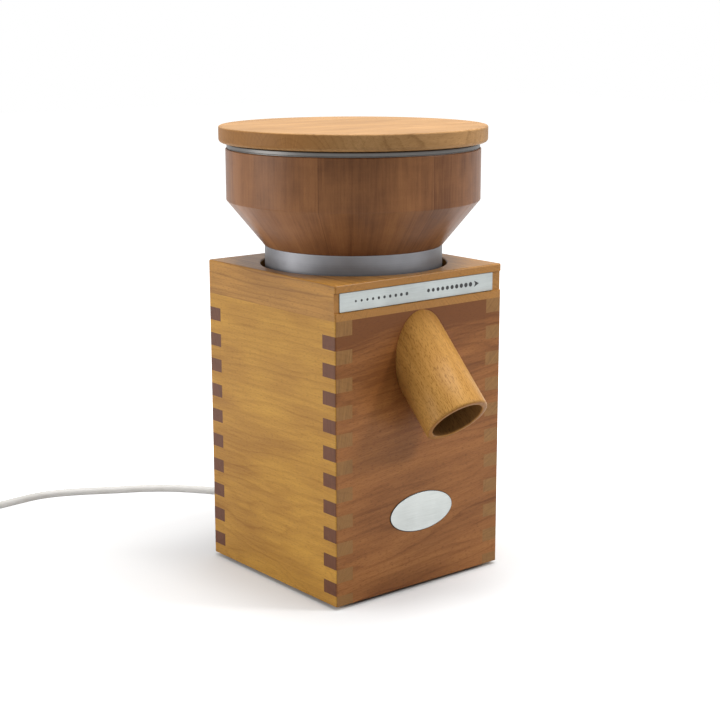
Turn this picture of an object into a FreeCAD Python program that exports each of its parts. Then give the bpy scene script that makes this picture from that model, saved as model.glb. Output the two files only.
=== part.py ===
import FreeCAD, Part
import math
import os

Vector = FreeCAD.Vector

# Millimetres. Z is up from what the mill stands on, the spout points to -Y,
# and the shaft of the motor and of the stones is the Z axis.

# Clearances
fit_gap = 0.05
seat_gap = 0.3
turning_gap = 0.4

# Collar, and the wooden case round its hole
collar_radius = 71.8
hole_gap = 3.8
block_side_wall = 9.4
block_front_wall = 8.4
block_hole_radius = collar_radius + hole_gap
case_width = 2 * (block_hole_radius + block_side_wall)
case_depth = 2 * (block_hole_radius + block_front_wall)
carcass_height = 224.1
panel_thickness = 16.0
block_thickness = 27.5
edge_rounding = 1.4
finger_height = 10.75
top_finger_height = 11.4
hole_chamfer = 0.8
foot_height = 3.0
foot_radius = 7.0
foot_tip_radius = 5.5
foot_inset = 23.0
foot_screw_radius = 2.0
foot_screw_length = 26.0
foot_head_radius = 3.4
foot_head_height = 1.2
cleat_side = 14.0
cleat_height = 30.0
base_thickness = 6.0
vent_length = 52.0
vent_width = 5.0
vent_pitch = 11.0
vent_count = 7

# Scale strip in its groove, and the oval plate
groove_drop = 6.1
groove_height = 15.5
groove_depth = 1.8
strip_length = 156.5
strip_height = 14.7
strip_thickness = 0.8
strip_shift = -1.75
oval_width = 65.0
oval_height = 32.0
oval_thickness = 0.8
oval_shift = 1.0
oval_rise = 60.5

# Spout
spout_slope = 45.5
spout_radius = 26.3
spout_bore = 21.0
spout_reach = 60.4
spout_rim_rounding = 1.5
spout_below_block = 0.3

# Milling chamber
chamber_bore = 62.0
chamber_wall = 4.0
chamber_rise = 18.9
chamber_floor = 4.0
flange_thickness = 6.0
flange_side_gap = 1.0
chute_wall = 4.5
chute_bore = 20.0
flour_slot_width = 20.8
flour_slot_start = 47.2
flour_slot_end = 58.3
flour_slot_depth = 6.3
pillar_radius = 6.5
pillar_length = 22.0
pillar_circle = 50.0
chamber_screw_place = 60.0
chamber_screw_radius = 2.2
chamber_screw_length = 24.0
chamber_head_radius = 4.2
chamber_head_height = 2.6
seal_radius = 13.0
seal_height = 6.0
seal_wall = 3.0

# Hopper
collar_show = 14.9
collar_skirt = 21.5
collar_band = 4.0
collar_web = 6.0
neck_wall = 6.0
neck_length = 27.5
groove_width = 4.0
ring_groove_rise = 1.5
ring_groove_depth = 3.4
seal_ring_section = 1.35
bowl_foot_radius = 72.1
bowl_radius = 102.0
bowl_cone_height = 36.6
bowl_side_height = 40.7
bowl_wall = 9.5
bowl_funnel_height = 36.0
bowl_floor_height = 6.5
bowl_hole_radius = 34.0
bowl_foot_rounding = 1.6
rim_setback = 1.0
rim_height = 4.4
lid_overhang = 5.3
lid_thickness = 12.9
lid_rounding = 3.0
lid_top_rounding = 1.0
spigot_thickness = 6.0
spigot_gap = 0.8
spigot_screw_circle = 62.0
spigot_screw_radius = 1.75
spigot_screw_length = 14.0
spigot_head_radius = 3.2
spigot_head_height = 1.6

# Stones
stone_radius = 42.5
stone_gap = 0.35
upper_stone_thickness = 27.15
lower_stone_thickness = 17.0
stone_eye = 14.0
stone_land = 30.0
stone_hollow = 5.0
furrow_count = 12
furrow_width = 3.0
furrow_depth = 1.4
holder_thickness = 6.0
holder_skirt_wall = 4.0
holder_skirt_length = 13.5
holder_screw_circle = 51.0
bowl_screw_circle = 49.0
hopper_screw_radius = 2.0
hopper_screw_length = 15.0
hopper_head_radius = 3.4
hopper_head_height = 2.4
funnel_spigot_wall = 1.8
carrier_radius = 44.0
carrier_thickness = 6.0
hub_height = 15.0
hub_cap = 6.0
spring_pocket = 9.5
stone_float = 1.5
wiper_reach = 59.5
wiper_thickness = 3.0
wiper_drop = 1.0
wiper_count = 4

# Spring under the lower stone
spring_wire = 1.5
spring_turns = 5

# Shaft and rotor
journal_radius = 7.5
core_seat_radius = 9.0
fan_seat_radius = 6.0
shaft_tip_radius = 5.0
shaft_tip_rise = 3.0
shaft_end = 22.0
drive_pin_radius = 2.0
drive_pin_length = 22.0
ring_thickness = 1.2
ring_radius = 8.5
ring_groove_radius = 4.4
rotor_radius = 29.6
end_ring_wall = 10.0
end_ring_height = 6.0
fan_radius = 48.0
fan_hub_radius = 12.0
fan_height = 15.0
fan_plate = 2.0
fan_low = 26.0
fan_blades = 9
blade_thickness = 2.0
clip_radius = 9.0

# Motor
stack_radius = 56.0
stack_height = 60.0
slot_count = 24
slot_low_radius = 32.0
slot_high_radius = 43.5
slot_width = 4.0
slot_liner = 0.3
winding_radius = 46.0
winding_rise = 18.0
shield_disc = 6.0
shield_skirt = 27.0
shield_wall = 3.0
window_width = 26.0
window_height = 15.0
bearing_radius = 17.5
bearing_width = 11.0
hub_wall = 4.0
bearing_lip = 1.0
bolt_radius = 2.5
bolt_head_radius = 4.5
bolt_head_height = 4.0
bolt_grip = 14.0
cutout_radius = 6.0
cutout_height = 3.6

# Electrical pieces in the case
capacitor_radius = 14.0
capacitor_height = 62.0
capacitor_side_gap = 3.0
capacitor_rise = 60.0
clip_height = 12.0
clip_wall = 1.2
clip_foot = 24.0
terminal_length = 30.0
terminal_depth = 14.0
terminal_height = 14.0
terminal_side_gap = 11.0
terminal_rise = 64.0
wire_radius = 1.5

# Rear plate, switch and strain relief
plate_width = 100.0
plate_height = 44.0
plate_thickness = 2.0
plate_centre = 31.0
plate_corner = 5.0
plate_screw_inset = 5.0
plate_screw_radius = 1.6
plate_screw_length = 14.0
plate_head_radius = 3.0
plate_head_height = 1.4
service_width = 80.0
service_height = 32.0
switch_place = -24.0
switch_width = 22.0
switch_height = 30.0
switch_bezel = 2.5
switch_body_width = 19.6
switch_body_height = 27.0
rocker_width = 16.0
rocker_radius = 11.6
rocker_face = 3.0
rocker_tilt = 10.0
rocker_pin_radius = 1.5
rocker_pin_length = 1.2
switch_back = 3.0
tab_width = 5.0
tab_thickness = 0.8
tab_length = 7.0
relief_place = 30.0
relief_neck = 6.4
relief_flange = 8.5
relief_flange_thickness = 3.0
relief_tail = 8.0
relief_root = 7.6
relief_tip = 4.8
relief_length = 32.0
relief_ribs = 5
relief_rib_width = 2.0
relief_rib_depth = 0.9

# Power cord
cord_radius = 3.5
coil_turn_radius = 38.5
coil_width = 21.2
coil_height = 13.4
coil_corner = 3.4
tie_thickness = 0.8
tie_width = 9.0
tie_gap = 0.5
coil_x = -258.0
coil_y = 271.3
plug_x = -297.0
plug_back = 219.0
plug_neck_radius = 5.2
plug_neck = 12.0
plug_grip_radius = 12.0
plug_grip = 17.0
plug_head_radius = 18.5
plug_head = 16.0
plug_pin_radius = 2.4
plug_pin_length = 19.0
plug_pin_spacing = 19.0
contact_width = 6.0
contact_thickness = 0.8

# Heights that follow from the sizes above
carcass_low = foot_height
block_low = carcass_low + carcass_height
case_top = block_low + block_thickness
bowl_seat = case_top + collar_show
web_low = bowl_seat - collar_web
holder_low = web_low - holder_thickness
upper_face = holder_low - upper_stone_thickness
lower_face = upper_face - stone_gap
carrier_top = lower_face - lower_stone_thickness
carrier_low = carrier_top - carrier_thickness
floor_top = carrier_low - stone_float - 1.5
floor_low = floor_top - chamber_floor
shield_top = floor_low - pillar_length
upper_disc_low = shield_top - shield_disc
stack_top = upper_disc_low - shield_skirt
stack_low = stack_top - stack_height
lower_disc_top = stack_low - shield_skirt
lower_disc_low = lower_disc_top - shield_disc
base_top = carcass_low + base_thickness
neck_low = web_low - neck_length
neck_radius = chamber_bore - fit_gap
bend_height = bowl_seat + bowl_cone_height
bowl_top = bend_height + bowl_side_height
lid_low = bowl_top + rim_height + seat_gap
lid_top = lid_low + lid_thickness
hub_top = carrier_top + hub_height
shoulder = carrier_low + 2
half_width = case_width / 2
half_depth = case_depth / 2
inner_x = half_width - panel_thickness
inner_y = half_depth - panel_thickness
foot_x = half_width - foot_inset
foot_y = half_depth - foot_inset
plate_face = half_depth + plate_thickness
rim_radius = bowl_radius - rim_setback
lid_radius = bowl_radius + lid_overhang
capacitor_wall_gap = capacitor_radius + capacitor_side_gap
capacitor_place = Vector(capacitor_wall_gap - inner_x, inner_y - capacitor_wall_gap, capacitor_rise)
terminal_place = Vector(inner_x - terminal_length / 2 - terminal_side_gap, 0, terminal_rise)
parts = {}


def cylinder(radius, low, high, x=0, y=0):
    return Part.makeCylinder(radius, high - low, Vector(x, y, low))


def block(x_low, x_high, y_low, y_high, z_low, z_high):
    return Part.makeBox(x_high - x_low, y_high - y_low, z_high - z_low, Vector(x_low, y_low, z_low))


def ring(outer, inner, low, high, x=0, y=0):
    return cylinder(outer, low, high, x, y).cut(cylinder(inner, low, high, x, y))


def turned(profile):
    """A solid turned round Z from its outline of (radius, height) corners."""
    corners = [Vector(radius, 0, height) for radius, height in profile]
    face = Part.Face(Part.makePolygon(corners + corners[:1]))
    return face.revolve(Vector(), Vector(0, 0, 1), 360)


def joined(shapes):
    return shapes[0].multiFuse(shapes[1:]).removeSplitter()


def around(shape, count, first=0.0):
    """Equally spaced copies of a shape round the Z axis."""
    copies = []
    for step in range(count):
        copy = shape.copy()
        copy.rotate(Vector(), Vector(0, 0, 1), first + 360.0 * step / count)
        copies.append(copy)
    return copies


def at_corners(shape, x, y):
    """Four copies of a shape made on the Z axis, moved to the corners of a rectangle."""
    copies = []
    for side in (-1, 1):
        for end in (-1, 1):
            copy = shape.copy()
            copy.translate(Vector(side * x, end * y, 0))
            copies.append(copy)
    return copies


def eased(shape, radius, wanted):
    """Rounds the edges that the wanted test picks."""
    return shape.makeFillet(radius, [edge for edge in shape.Edges if wanted(edge)])


def upright(edge):
    first, last = edge.Vertexes[0].Point, edge.Vertexes[-1].Point
    return abs(first.x - last.x) < 1e-6 and abs(first.y - last.y) < 1e-6


def circle_at(height, radius):
    """A test for the round edge of that radius at that height."""
    def wanted(edge):
        curve = edge.Curve
        if not isinstance(curve, Part.Circle):
            return False
        return abs(curve.Center.z - height) < 1e-4 and abs(curve.Radius - radius) < 1e-4
    return wanted


def keep(name, *shapes):
    """Stores one node, of one solid or of several like ones."""
    parts[name] = shapes[0] if len(shapes) == 1 else Part.makeCompound(list(shapes))


def dark_fingers():
    """Heights of the fingers of the front and rear panels, from the top down."""
    spans = []
    top = block_low - top_finger_height
    while top - finger_height > carcass_low:
        spans.append((top - finger_height, top))
        top -= 2 * finger_height
    return spans


def light_fingers():
    """Heights of the fingers of the side panels, which fill between the dark ones."""
    dark = dark_fingers()
    tops = [block_low] + [low for low, high in dark]
    lows = [high for low, high in dark] + [carcass_low]
    return list(zip(lows, tops))


def corner_boxes(spans):
    x = half_width - panel_thickness / 2
    y = half_depth - panel_thickness / 2
    half = panel_thickness / 2
    boxes = []
    for low, high in spans:
        boxes += at_corners(block(-half, half, -half, half, low, high), x, y)
    return boxes


def outer_block(low, high):
    raw = block(-half_width, half_width, -half_depth, half_depth, low, high)
    return eased(raw, edge_rounding, upright)


def spout_point(distance):
    """A point on the spout's axis, that far outside the front of the case."""
    slope = math.radians(spout_slope)
    height = block_low - spout_below_block - spout_radius / math.cos(slope)
    return Vector(0, -half_depth - distance * math.cos(slope), height - distance * math.sin(slope))


def spout_inner_end():
    """Where the top line of the spout meets the front of the case."""
    return -spout_radius * math.tan(math.radians(spout_slope)) - spout_below_block


def spout_cylinder(radius, start, end):
    way = spout_point(1).sub(spout_point(0))
    return Part.makeCylinder(radius, end - start, spout_point(start), way)


def side_panels():
    envelope = outer_block(carcass_low, block_low)
    notches = corner_boxes(dark_fingers())
    for name, side in (("left_panel", -1), ("right_panel", 1)):
        x = sorted((side * half_width, side * inner_x))
        raw = block(x[0], x[1], -half_depth, half_depth, carcass_low, block_low)
        keep(name, raw.common(envelope).cut(notches))


def front_panel():
    raw = block(-half_width, half_width, -half_depth, -inner_y, carcass_low, block_low)
    panel = raw.common(outer_block(carcass_low, block_low)).cut(corner_boxes(light_fingers()))
    hole = spout_cylinder(spout_radius + fit_gap, -3 * panel_thickness, spout_reach)
    keep("front_panel", panel.cut(hole))


def rear_panel():
    raw = block(-half_width, half_width, inner_y, half_depth, carcass_low, block_low)
    panel = raw.common(outer_block(carcass_low, block_low)).cut(corner_boxes(light_fingers()))
    service = block(-service_width / 2, service_width / 2, inner_y - 1, half_depth + 1,
                    plate_centre - service_height / 2, plate_centre + service_height / 2)
    pilots = plate_screw_set(plate_screw_radius + fit_gap)
    keep("rear_panel", panel.cut([service] + pilots))


def top_block():
    raw = outer_block(block_low, case_top)
    raw = eased(raw, edge_rounding, lambda edge: abs(edge.BoundBox.ZMin - case_top) < 1e-6)
    hole = cylinder(block_hole_radius, block_low - 1, case_top + 1)
    chamfer = Part.makeCone(block_hole_radius, block_hole_radius + 2 * hole_chamfer,
                            2 * hole_chamfer, Vector(0, 0, case_top - hole_chamfer))
    groove = block(-case_width, case_width, -case_depth, -half_depth + groove_depth,
                   case_top - groove_drop - groove_height, case_top - groove_drop)
    pilots = at_corners(
        cylinder(chamber_screw_radius + fit_gap, block_low - 1,
                 block_low - flange_thickness + chamber_screw_length),
        chamber_screw_place, chamber_screw_place)
    keep("top_block", raw.cut([hole, chamfer, groove] + pilots))


def corner_cleats():
    raw = block(-cleat_side / 2, cleat_side / 2, -cleat_side / 2, cleat_side / 2,
                base_top, base_top + cleat_height)
    x = inner_x - cleat_side / 2
    y = inner_y - cleat_side / 2
    holes = at_corners(cylinder(foot_screw_radius + fit_gap, base_top - 1, base_top + foot_screw_length),
                       foot_x, foot_y)
    keep("corner_cleats", *[cleat.cut(holes) for cleat in at_corners(raw, x, y)])


def base_plate():
    x = inner_x - seat_gap
    y = inner_y - seat_gap
    raw = block(-x, x, -y, y, carcass_low, base_top)
    vents = []
    for row in range(vent_count):
        place = (row - (vent_count - 1) / 2) * vent_pitch
        vents.append(block(-vent_length / 2, vent_length / 2, place - vent_width / 2,
                           place + vent_width / 2, carcass_low - 1, base_top + 1))
    holes = at_corners(cylinder(foot_screw_radius + fit_gap, carcass_low - 1, base_top + 1),
                       foot_x, foot_y)
    keep("base_plate", raw.cut(vents + holes))


def feet():
    body = Part.makeCone(foot_tip_radius, foot_radius, foot_height)
    recess = cylinder(foot_head_radius + fit_gap, -1, foot_height - foot_head_height)
    hole = cylinder(foot_screw_radius + fit_gap, -1, foot_height + 1)
    keep("rubber_feet", *at_corners(body.cut([recess, hole]), foot_x, foot_y))
    head_top = foot_height - foot_head_height
    head = cylinder(foot_head_radius, head_top - foot_head_height, head_top)
    shank = cylinder(foot_screw_radius, head_top - foot_head_height / 2,
                     base_top + foot_screw_length - 2)
    keep("foot_screws", *at_corners(joined([head, shank]), foot_x, foot_y))


def scale_strip():
    back = -half_depth + groove_depth
    middle = case_top - groove_drop - groove_height / 2
    raw = block(strip_shift - strip_length / 2, strip_shift + strip_length / 2,
                back - strip_thickness, back, middle - strip_height / 2, middle + strip_height / 2)
    keep("scale_strip", raw)


def oval_plate():
    outline = Part.Ellipse(Vector(), oval_width / 2, oval_height / 2).toShape()
    solid = Part.Face(Part.Wire(outline)).extrude(Vector(0, 0, oval_thickness))
    solid.rotate(Vector(), Vector(1, 0, 0), 90)
    solid.translate(Vector(oval_shift, -half_depth, carcass_low + oval_rise))
    keep("oval_plate", solid)


def spout():
    inner = spout_inner_end()
    tube = spout_cylinder(spout_radius, inner, spout_reach)
    bore = spout_cylinder(spout_bore, inner - 1, spout_reach + 1)
    end = spout_point(spout_reach)
    def at_mouth(edge):
        return isinstance(edge.Curve, Part.Circle) and edge.Curve.Center.distanceToPoint(end) < 1e-4
    keep("spout", eased(tube.cut(bore), spout_rim_rounding, at_mouth))


def milling_chamber():
    flange_low = block_low - flange_thickness
    chamber_high = block_low + chamber_rise
    x = inner_x - flange_side_gap
    y = inner_y - flange_side_gap
    flange = block(-x, x, -y, y, flange_low, block_low)
    wall = cylinder(chamber_bore + chamber_wall, floor_low, chamber_high)
    pillars = around(cylinder(pillar_radius, shield_top, floor_low + 1, pillar_circle), 4, 45)
    boss = cylinder(seal_radius + seal_wall, floor_top - seal_height - 2, floor_top)
    stub_start = spout_inner_end() - seat_gap
    chute_radius = chute_bore + chute_wall
    deep_end = -2.6 * chute_radius
    chute = spout_cylinder(chute_radius, deep_end, stub_start)
    below_block = block(-x, x, -case_depth, 0, shield_top, block_low)
    chute = chute.common(below_block)
    body = joined([flange, wall, boss, chute] + pillars)
    cavity = cylinder(chamber_bore, floor_top, chamber_high + 1)
    passage = spout_cylinder(chute_bore, 2 * deep_end, stub_start + 1)
    passage = passage.common(block(-x, x, -case_depth, 0, 0, block_low - flange_thickness / 2))
    slot = block(-flour_slot_width / 2, flour_slot_width / 2, -flour_slot_end, -flour_slot_start,
                 floor_top - flour_slot_depth, floor_top + 1)
    seal_seat = cylinder(seal_radius + fit_gap, floor_top - seal_height, floor_top + 1)
    shaft_hole = cylinder(journal_radius + turning_gap, floor_low - 9, floor_top + 1)
    screws = at_corners(cylinder(chamber_screw_radius + fit_gap, flange_low - 1, block_low + 1),
                        chamber_screw_place, chamber_screw_place)
    bolts = around(cylinder(bolt_radius + fit_gap, shield_top - 1, shield_top + bolt_grip + 1,
                            pillar_circle), 4, 45)
    spout_seat = spout_cylinder(spout_radius + seat_gap, stub_start, spout_reach)
    body = body.cut([cavity, passage, slot, seal_seat, shaft_hole, spout_seat] + screws + bolts)
    keep("milling_chamber", body)
    head_top = block_low - flange_thickness
    screw = joined([cylinder(chamber_head_radius, head_top - chamber_head_height, head_top),
                    cylinder(chamber_screw_radius, head_top - 1, head_top + chamber_screw_length - 1)])
    keep("chamber_screws", *at_corners(screw, chamber_screw_place, chamber_screw_place))
    keep("shaft_seal", ring(seal_radius, journal_radius + fit_gap, floor_top - seal_height, floor_top))


def collar():
    """The metal collar that carries the bowl: band, web and threaded neck in one turned piece."""
    inner_neck = neck_radius - neck_wall
    groove_low = neck_low + ring_groove_rise
    outline = [
        (bowl_hole_radius, bowl_seat), (collar_radius, bowl_seat),
        (collar_radius, bowl_seat - collar_skirt), (collar_radius - collar_band, bowl_seat - collar_skirt),
        (collar_radius - collar_band, web_low), (neck_radius, web_low),
        (neck_radius, groove_low + groove_width),
        (neck_radius - ring_groove_depth, groove_low + groove_width),
        (neck_radius - ring_groove_depth, groove_low), (neck_radius, groove_low),
        (neck_radius, neck_low), (inner_neck, neck_low), (inner_neck, web_low),
        (bowl_hole_radius, web_low),
    ]
    holes = around(cylinder(hopper_screw_radius + fit_gap, web_low - 1, web_low + 0.7 * collar_web,
                            holder_screw_circle), 4, 0)
    wide = around(cylinder(hopper_head_radius + fit_gap, web_low - 1, web_low + hopper_head_height,
                           bowl_screw_circle), 4, 45)
    through = around(cylinder(hopper_screw_radius + fit_gap, web_low - 1, bowl_seat + 1,
                              bowl_screw_circle), 4, 45)
    keep("collar", turned(outline).cut(holes + wide + through))


def thread_seal():
    """The rubber ring in the groove of the neck, which rises with the hopper but doesn't turn."""
    middle = neck_low + ring_groove_rise + groove_width / 2
    radius = neck_radius - ring_groove_depth / 2
    keep("thread_seal", Part.makeTorus(radius, seal_ring_section, Vector(0, 0, middle)))


def bowl():
    inner = bowl_radius - bowl_wall
    funnel_low = bowl_seat + bowl_floor_height
    outline = [
        (bowl_hole_radius, bowl_seat), (bowl_foot_radius, bowl_seat), (bowl_radius, bend_height),
        (bowl_radius, bowl_top), (inner, bowl_top), (inner, funnel_low + bowl_funnel_height),
        (bowl_hole_radius, funnel_low),
    ]
    body = eased(turned(outline), bowl_foot_rounding, circle_at(bowl_seat, bowl_foot_radius))
    pilots = around(cylinder(hopper_screw_radius + fit_gap, bowl_seat - 1,
                             web_low + hopper_screw_length, bowl_screw_circle), 4, 45)
    keep("bowl", body.cut(pilots))
    keep("rim_ring", ring(rim_radius, inner, bowl_top, bowl_top + rim_height))


def hopper_screws():
    head = cylinder(hopper_head_radius, web_low, web_low + hopper_head_height, bowl_screw_circle)
    shank = cylinder(hopper_screw_radius, web_low + 1, web_low + hopper_screw_length - 1,
                     bowl_screw_circle)
    keep("bowl_screws", *around(joined([head, shank]), 4, 45))
    head = cylinder(hopper_head_radius, holder_low - hopper_head_height, holder_low,
                    holder_screw_circle)
    shank = cylinder(hopper_screw_radius, holder_low - 1, web_low + 0.6 * collar_web,
                     holder_screw_circle)
    keep("holder_screws", *around(joined([head, shank]), 4, 0))


def feed_funnel():
    """The throat that leads grain from the bowl through the collar into the stone's eye."""
    top = bowl_seat + bowl_floor_height
    outer = bowl_hole_radius - seat_gap
    tube = stone_eye + funnel_spigot_wall
    keep("feed_funnel", turned([
        (stone_eye, holder_low + fit_gap), (tube, holder_low + fit_gap), (tube, web_low),
        (outer, web_low), (outer, top), (outer - 0.6, top), (stone_eye, web_low),
    ]))


def furrows(face, direction):
    """Shallow furrows across the grinding land, cut up or down from the face."""
    low, high = sorted((face, face + direction * furrow_depth))
    cutter = block(stone_land - 2, stone_radius + 2, -furrow_width / 2, furrow_width / 2,
                   low - (0 if direction < 0 else 1), high + (1 if direction < 0 else 0))
    return around(cutter, furrow_count, 180.0 / furrow_count)


def upper_stone():
    raw = turned([
        (stone_eye, upper_face + stone_hollow), (stone_land, upper_face), (stone_radius, upper_face),
        (stone_radius, holder_low), (stone_eye, holder_low),
    ])
    keep("upper_stone", raw.cut(furrows(upper_face, 1)))
    skirt_low = holder_low - holder_skirt_length
    inner = stone_radius + fit_gap
    plate_radius = neck_radius - neck_wall - fit_gap
    bore = stone_eye + funnel_spigot_wall + fit_gap
    raw = turned([
        (bore, holder_low), (inner, holder_low), (inner, skirt_low),
        (inner + holder_skirt_wall, skirt_low), (inner + holder_skirt_wall, holder_low),
        (plate_radius, holder_low), (plate_radius, web_low), (bore, web_low),
    ])
    holes = around(cylinder(hopper_screw_radius + fit_gap, holder_low - 1, web_low + 1,
                            holder_screw_circle), 4, 0)
    keep("upper_stone_holder", raw.cut(holes))


def lower_stone():
    raw = turned([
        (stone_eye + fit_gap, carrier_top), (stone_radius, carrier_top), (stone_radius, lower_face),
        (stone_land, lower_face), (stone_eye + fit_gap, lower_face - stone_hollow),
    ])
    keep("lower_stone", raw.cut(furrows(lower_face, -1)))


def stone_carrier():
    """The carrier under the lower stone, with the hub over its spring and the flour wipers."""
    pocket_top = hub_top - hub_cap
    tip_bore = shaft_tip_radius + fit_gap
    body = turned([
        (spring_pocket, carrier_low), (carrier_radius, carrier_low), (carrier_radius, carrier_top),
        (stone_eye, carrier_top), (stone_eye, hub_top), (tip_bore, hub_top), (tip_bore, pocket_top),
        (spring_pocket, pocket_top),
    ])
    wiper = block(carrier_radius - 3, wiper_reach, -wiper_thickness / 2, wiper_thickness / 2,
                  carrier_low - wiper_drop, carrier_top)
    wiper = wiper.cut(cylinder(carrier_radius - 2, 0, carrier_low))
    body = joined([body] + around(wiper, wiper_count, 45))
    slot_low = hub_top - hub_cap / 2 - drive_pin_radius - 0.4
    slot = block(-drive_pin_length / 2 - 0.5, drive_pin_length / 2 + 0.5,
                 -drive_pin_radius - seat_gap, drive_pin_radius + seat_gap, slot_low, hub_top + 1)
    keep("stone_carrier", body.cut(slot))


def stone_spring():
    low = shoulder + 0.1 + spring_wire / 2
    high = hub_top - hub_cap - 0.1 - spring_wire / 2
    middle = (shaft_tip_radius + journal_radius) / 2 + 0.3
    path = Part.Wire(Part.makeHelix((high - low) / spring_turns, high - low, middle).Edges)
    start = Part.Circle(Vector(middle, 0, 0), Vector(0, 1, 0), spring_wire / 2).toShape()
    coil = path.makePipeShell([Part.Wire(start)], True, True)
    coil.translate(Vector(0, 0, low))
    keep("stone_spring", coil)


def motor_shaft():
    tip_top = hub_top + shaft_tip_rise
    ring_low = hub_top + seat_gap
    clip_low = fan_low - ring_thickness
    seat_low = lower_disc_low + bearing_lip + bearing_width + seat_gap
    seat_high = shield_top - bearing_lip - bearing_width - seat_gap
    outline = [
        (0, shaft_end), (fan_seat_radius, shaft_end), (fan_seat_radius, fan_low + fan_height + 3),
        (journal_radius, fan_low + fan_height + 3), (journal_radius, seat_low),
        (core_seat_radius, seat_low), (core_seat_radius, seat_high), (journal_radius, seat_high),
        (journal_radius, shoulder), (shaft_tip_radius, shoulder), (shaft_tip_radius, ring_low),
        (ring_groove_radius, ring_low), (ring_groove_radius, ring_low + ring_thickness),
        (shaft_tip_radius, ring_low + ring_thickness), (shaft_tip_radius, tip_top), (0, tip_top),
    ]
    pin_height = hub_top - hub_cap / 2
    pin_hole = cylinder(drive_pin_radius + fit_gap, -drive_pin_length, drive_pin_length)
    pin_hole.rotate(Vector(), Vector(0, 1, 0), 90)
    pin_hole.translate(Vector(0, 0, pin_height))
    keep("motor_shaft", turned(outline).cut(pin_hole))
    pin = cylinder(drive_pin_radius, -drive_pin_length / 2, drive_pin_length / 2)
    pin.rotate(Vector(), Vector(0, 1, 0), 90)
    pin.translate(Vector(0, 0, pin_height))
    keep("drive_pin", pin)
    keep("retaining_ring", ring(ring_radius, ring_groove_radius + fit_gap, ring_low + fit_gap,
                                ring_low + ring_thickness - fit_gap))
    keep("fan_clip", ring(clip_radius, fan_seat_radius + fit_gap, clip_low, fan_low))


def rotor_core():
    bore = core_seat_radius + fit_gap
    core = ring(rotor_radius, bore, stack_low, stack_top)
    inner = rotor_radius - end_ring_wall
    rings = [ring(rotor_radius, inner, stack_low - end_ring_height, stack_low),
             ring(rotor_radius, inner, stack_top, stack_top + end_ring_height)]
    keep("rotor_core", joined([core] + rings))


def cooling_fan():
    top = fan_low + fan_height
    hub = cylinder(fan_hub_radius, fan_low, top)
    plate = cylinder(fan_radius, top - fan_plate, top)
    blade = block(fan_hub_radius - 1, fan_radius, -blade_thickness / 2, blade_thickness / 2,
                  fan_low + 3, top - fan_plate / 2)
    body = joined([hub, plate] + around(blade.common(cylinder(fan_radius, 0, top)), fan_blades))
    keep("cooling_fan", body.cut(cylinder(fan_seat_radius + fit_gap, fan_low - 1, top + 1)))


def slots(liner, low, high):
    """One box for each slot of the stack, smaller all round by the liner."""
    box = block(slot_low_radius + liner, slot_high_radius - liner, -slot_width / 2 + liner,
                slot_width / 2 - liner, low, high)
    return around(box, slot_count, 180.0 / slot_count)


def motor_stack():
    stack = ring(stack_radius, rotor_radius + turning_gap, stack_low, stack_top)
    bolts = around(cylinder(bolt_radius + fit_gap, stack_low - 1, stack_top + 1, pillar_circle), 4, 45)
    keep("stator_core", stack.cut(slots(0, stack_low - 1, stack_top + 1) + bolts))
    inner = slot_low_radius - turning_gap
    lift = 0.5
    rings = []
    for low, high in ((stack_top + lift, stack_top + winding_rise), (stack_low - winding_rise, stack_low - lift)):
        bundle = ring(winding_radius, inner, low, high)
        far = high if low > stack_top else low
        rings.append(eased(bundle, 4, circle_at(far, winding_radius)))
    keep("stator_winding", joined(rings + slots(slot_liner, stack_low - 1, stack_top + 1)))
    seat = stack_top + winding_rise
    place = (winding_radius + inner) / 2
    keep("thermal_cutout", cylinder(cutout_radius, seat, seat + cutout_height, 0, -place))


def end_shield(disc_low, skirt_low, skirt_high, hub_low, hub_high, lip_low):
    """A cast end shield: disc, vented skirt and the hub that holds a bearing."""
    disc = cylinder(stack_radius, disc_low, disc_low + shield_disc)
    skirt = ring(stack_radius, stack_radius - shield_wall, skirt_low, skirt_high)
    hub = cylinder(bearing_radius + fit_gap + hub_wall, hub_low, hub_high)
    middle = (skirt_low + skirt_high) / 2
    window = block(stack_radius - 2 * shield_wall, stack_radius + 1, -window_width / 2,
                   window_width / 2, middle - window_height / 2, middle + window_height / 2)
    bore = cylinder(bearing_radius + fit_gap, hub_low - 1, hub_high + 1)
    lip = ring(bearing_radius + fit_gap + 1, core_seat_radius + 2, lip_low, lip_low + bearing_lip)
    bolts = around(cylinder(bolt_radius + fit_gap, disc_low - 1, disc_low + shield_disc + 1,
                            pillar_circle), 4, 45)
    body = joined([disc, skirt, hub]).cut([bore] + around(window, 4) + bolts)
    return joined([body, lip])


def motor_shields():
    reach = bearing_width + bearing_lip
    upper = end_shield(upper_disc_low, stack_top, upper_disc_low + 1, shield_top - reach,
                       shield_top, shield_top - bearing_lip)
    lower = end_shield(lower_disc_low, lower_disc_top - 1, stack_low, lower_disc_low,
                       lower_disc_low + reach, lower_disc_low)
    keep("upper_end_shield", upper)
    keep("lower_end_shield", lower)
    low = lower_disc_low + bearing_lip
    high = shield_top - bearing_lip - bearing_width
    keep("lower_bearing", ring(bearing_radius, journal_radius + fit_gap, low, low + bearing_width))
    keep("upper_bearing", ring(bearing_radius, journal_radius + fit_gap, high, high + bearing_width))
    head = cylinder(bolt_head_radius, lower_disc_low - bolt_head_height, lower_disc_low, pillar_circle)
    shank = cylinder(bolt_radius, lower_disc_low - 1, shield_top + bolt_grip, pillar_circle)
    keep("motor_bolts", *around(joined([head, shank]), 4, 45))


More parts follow.
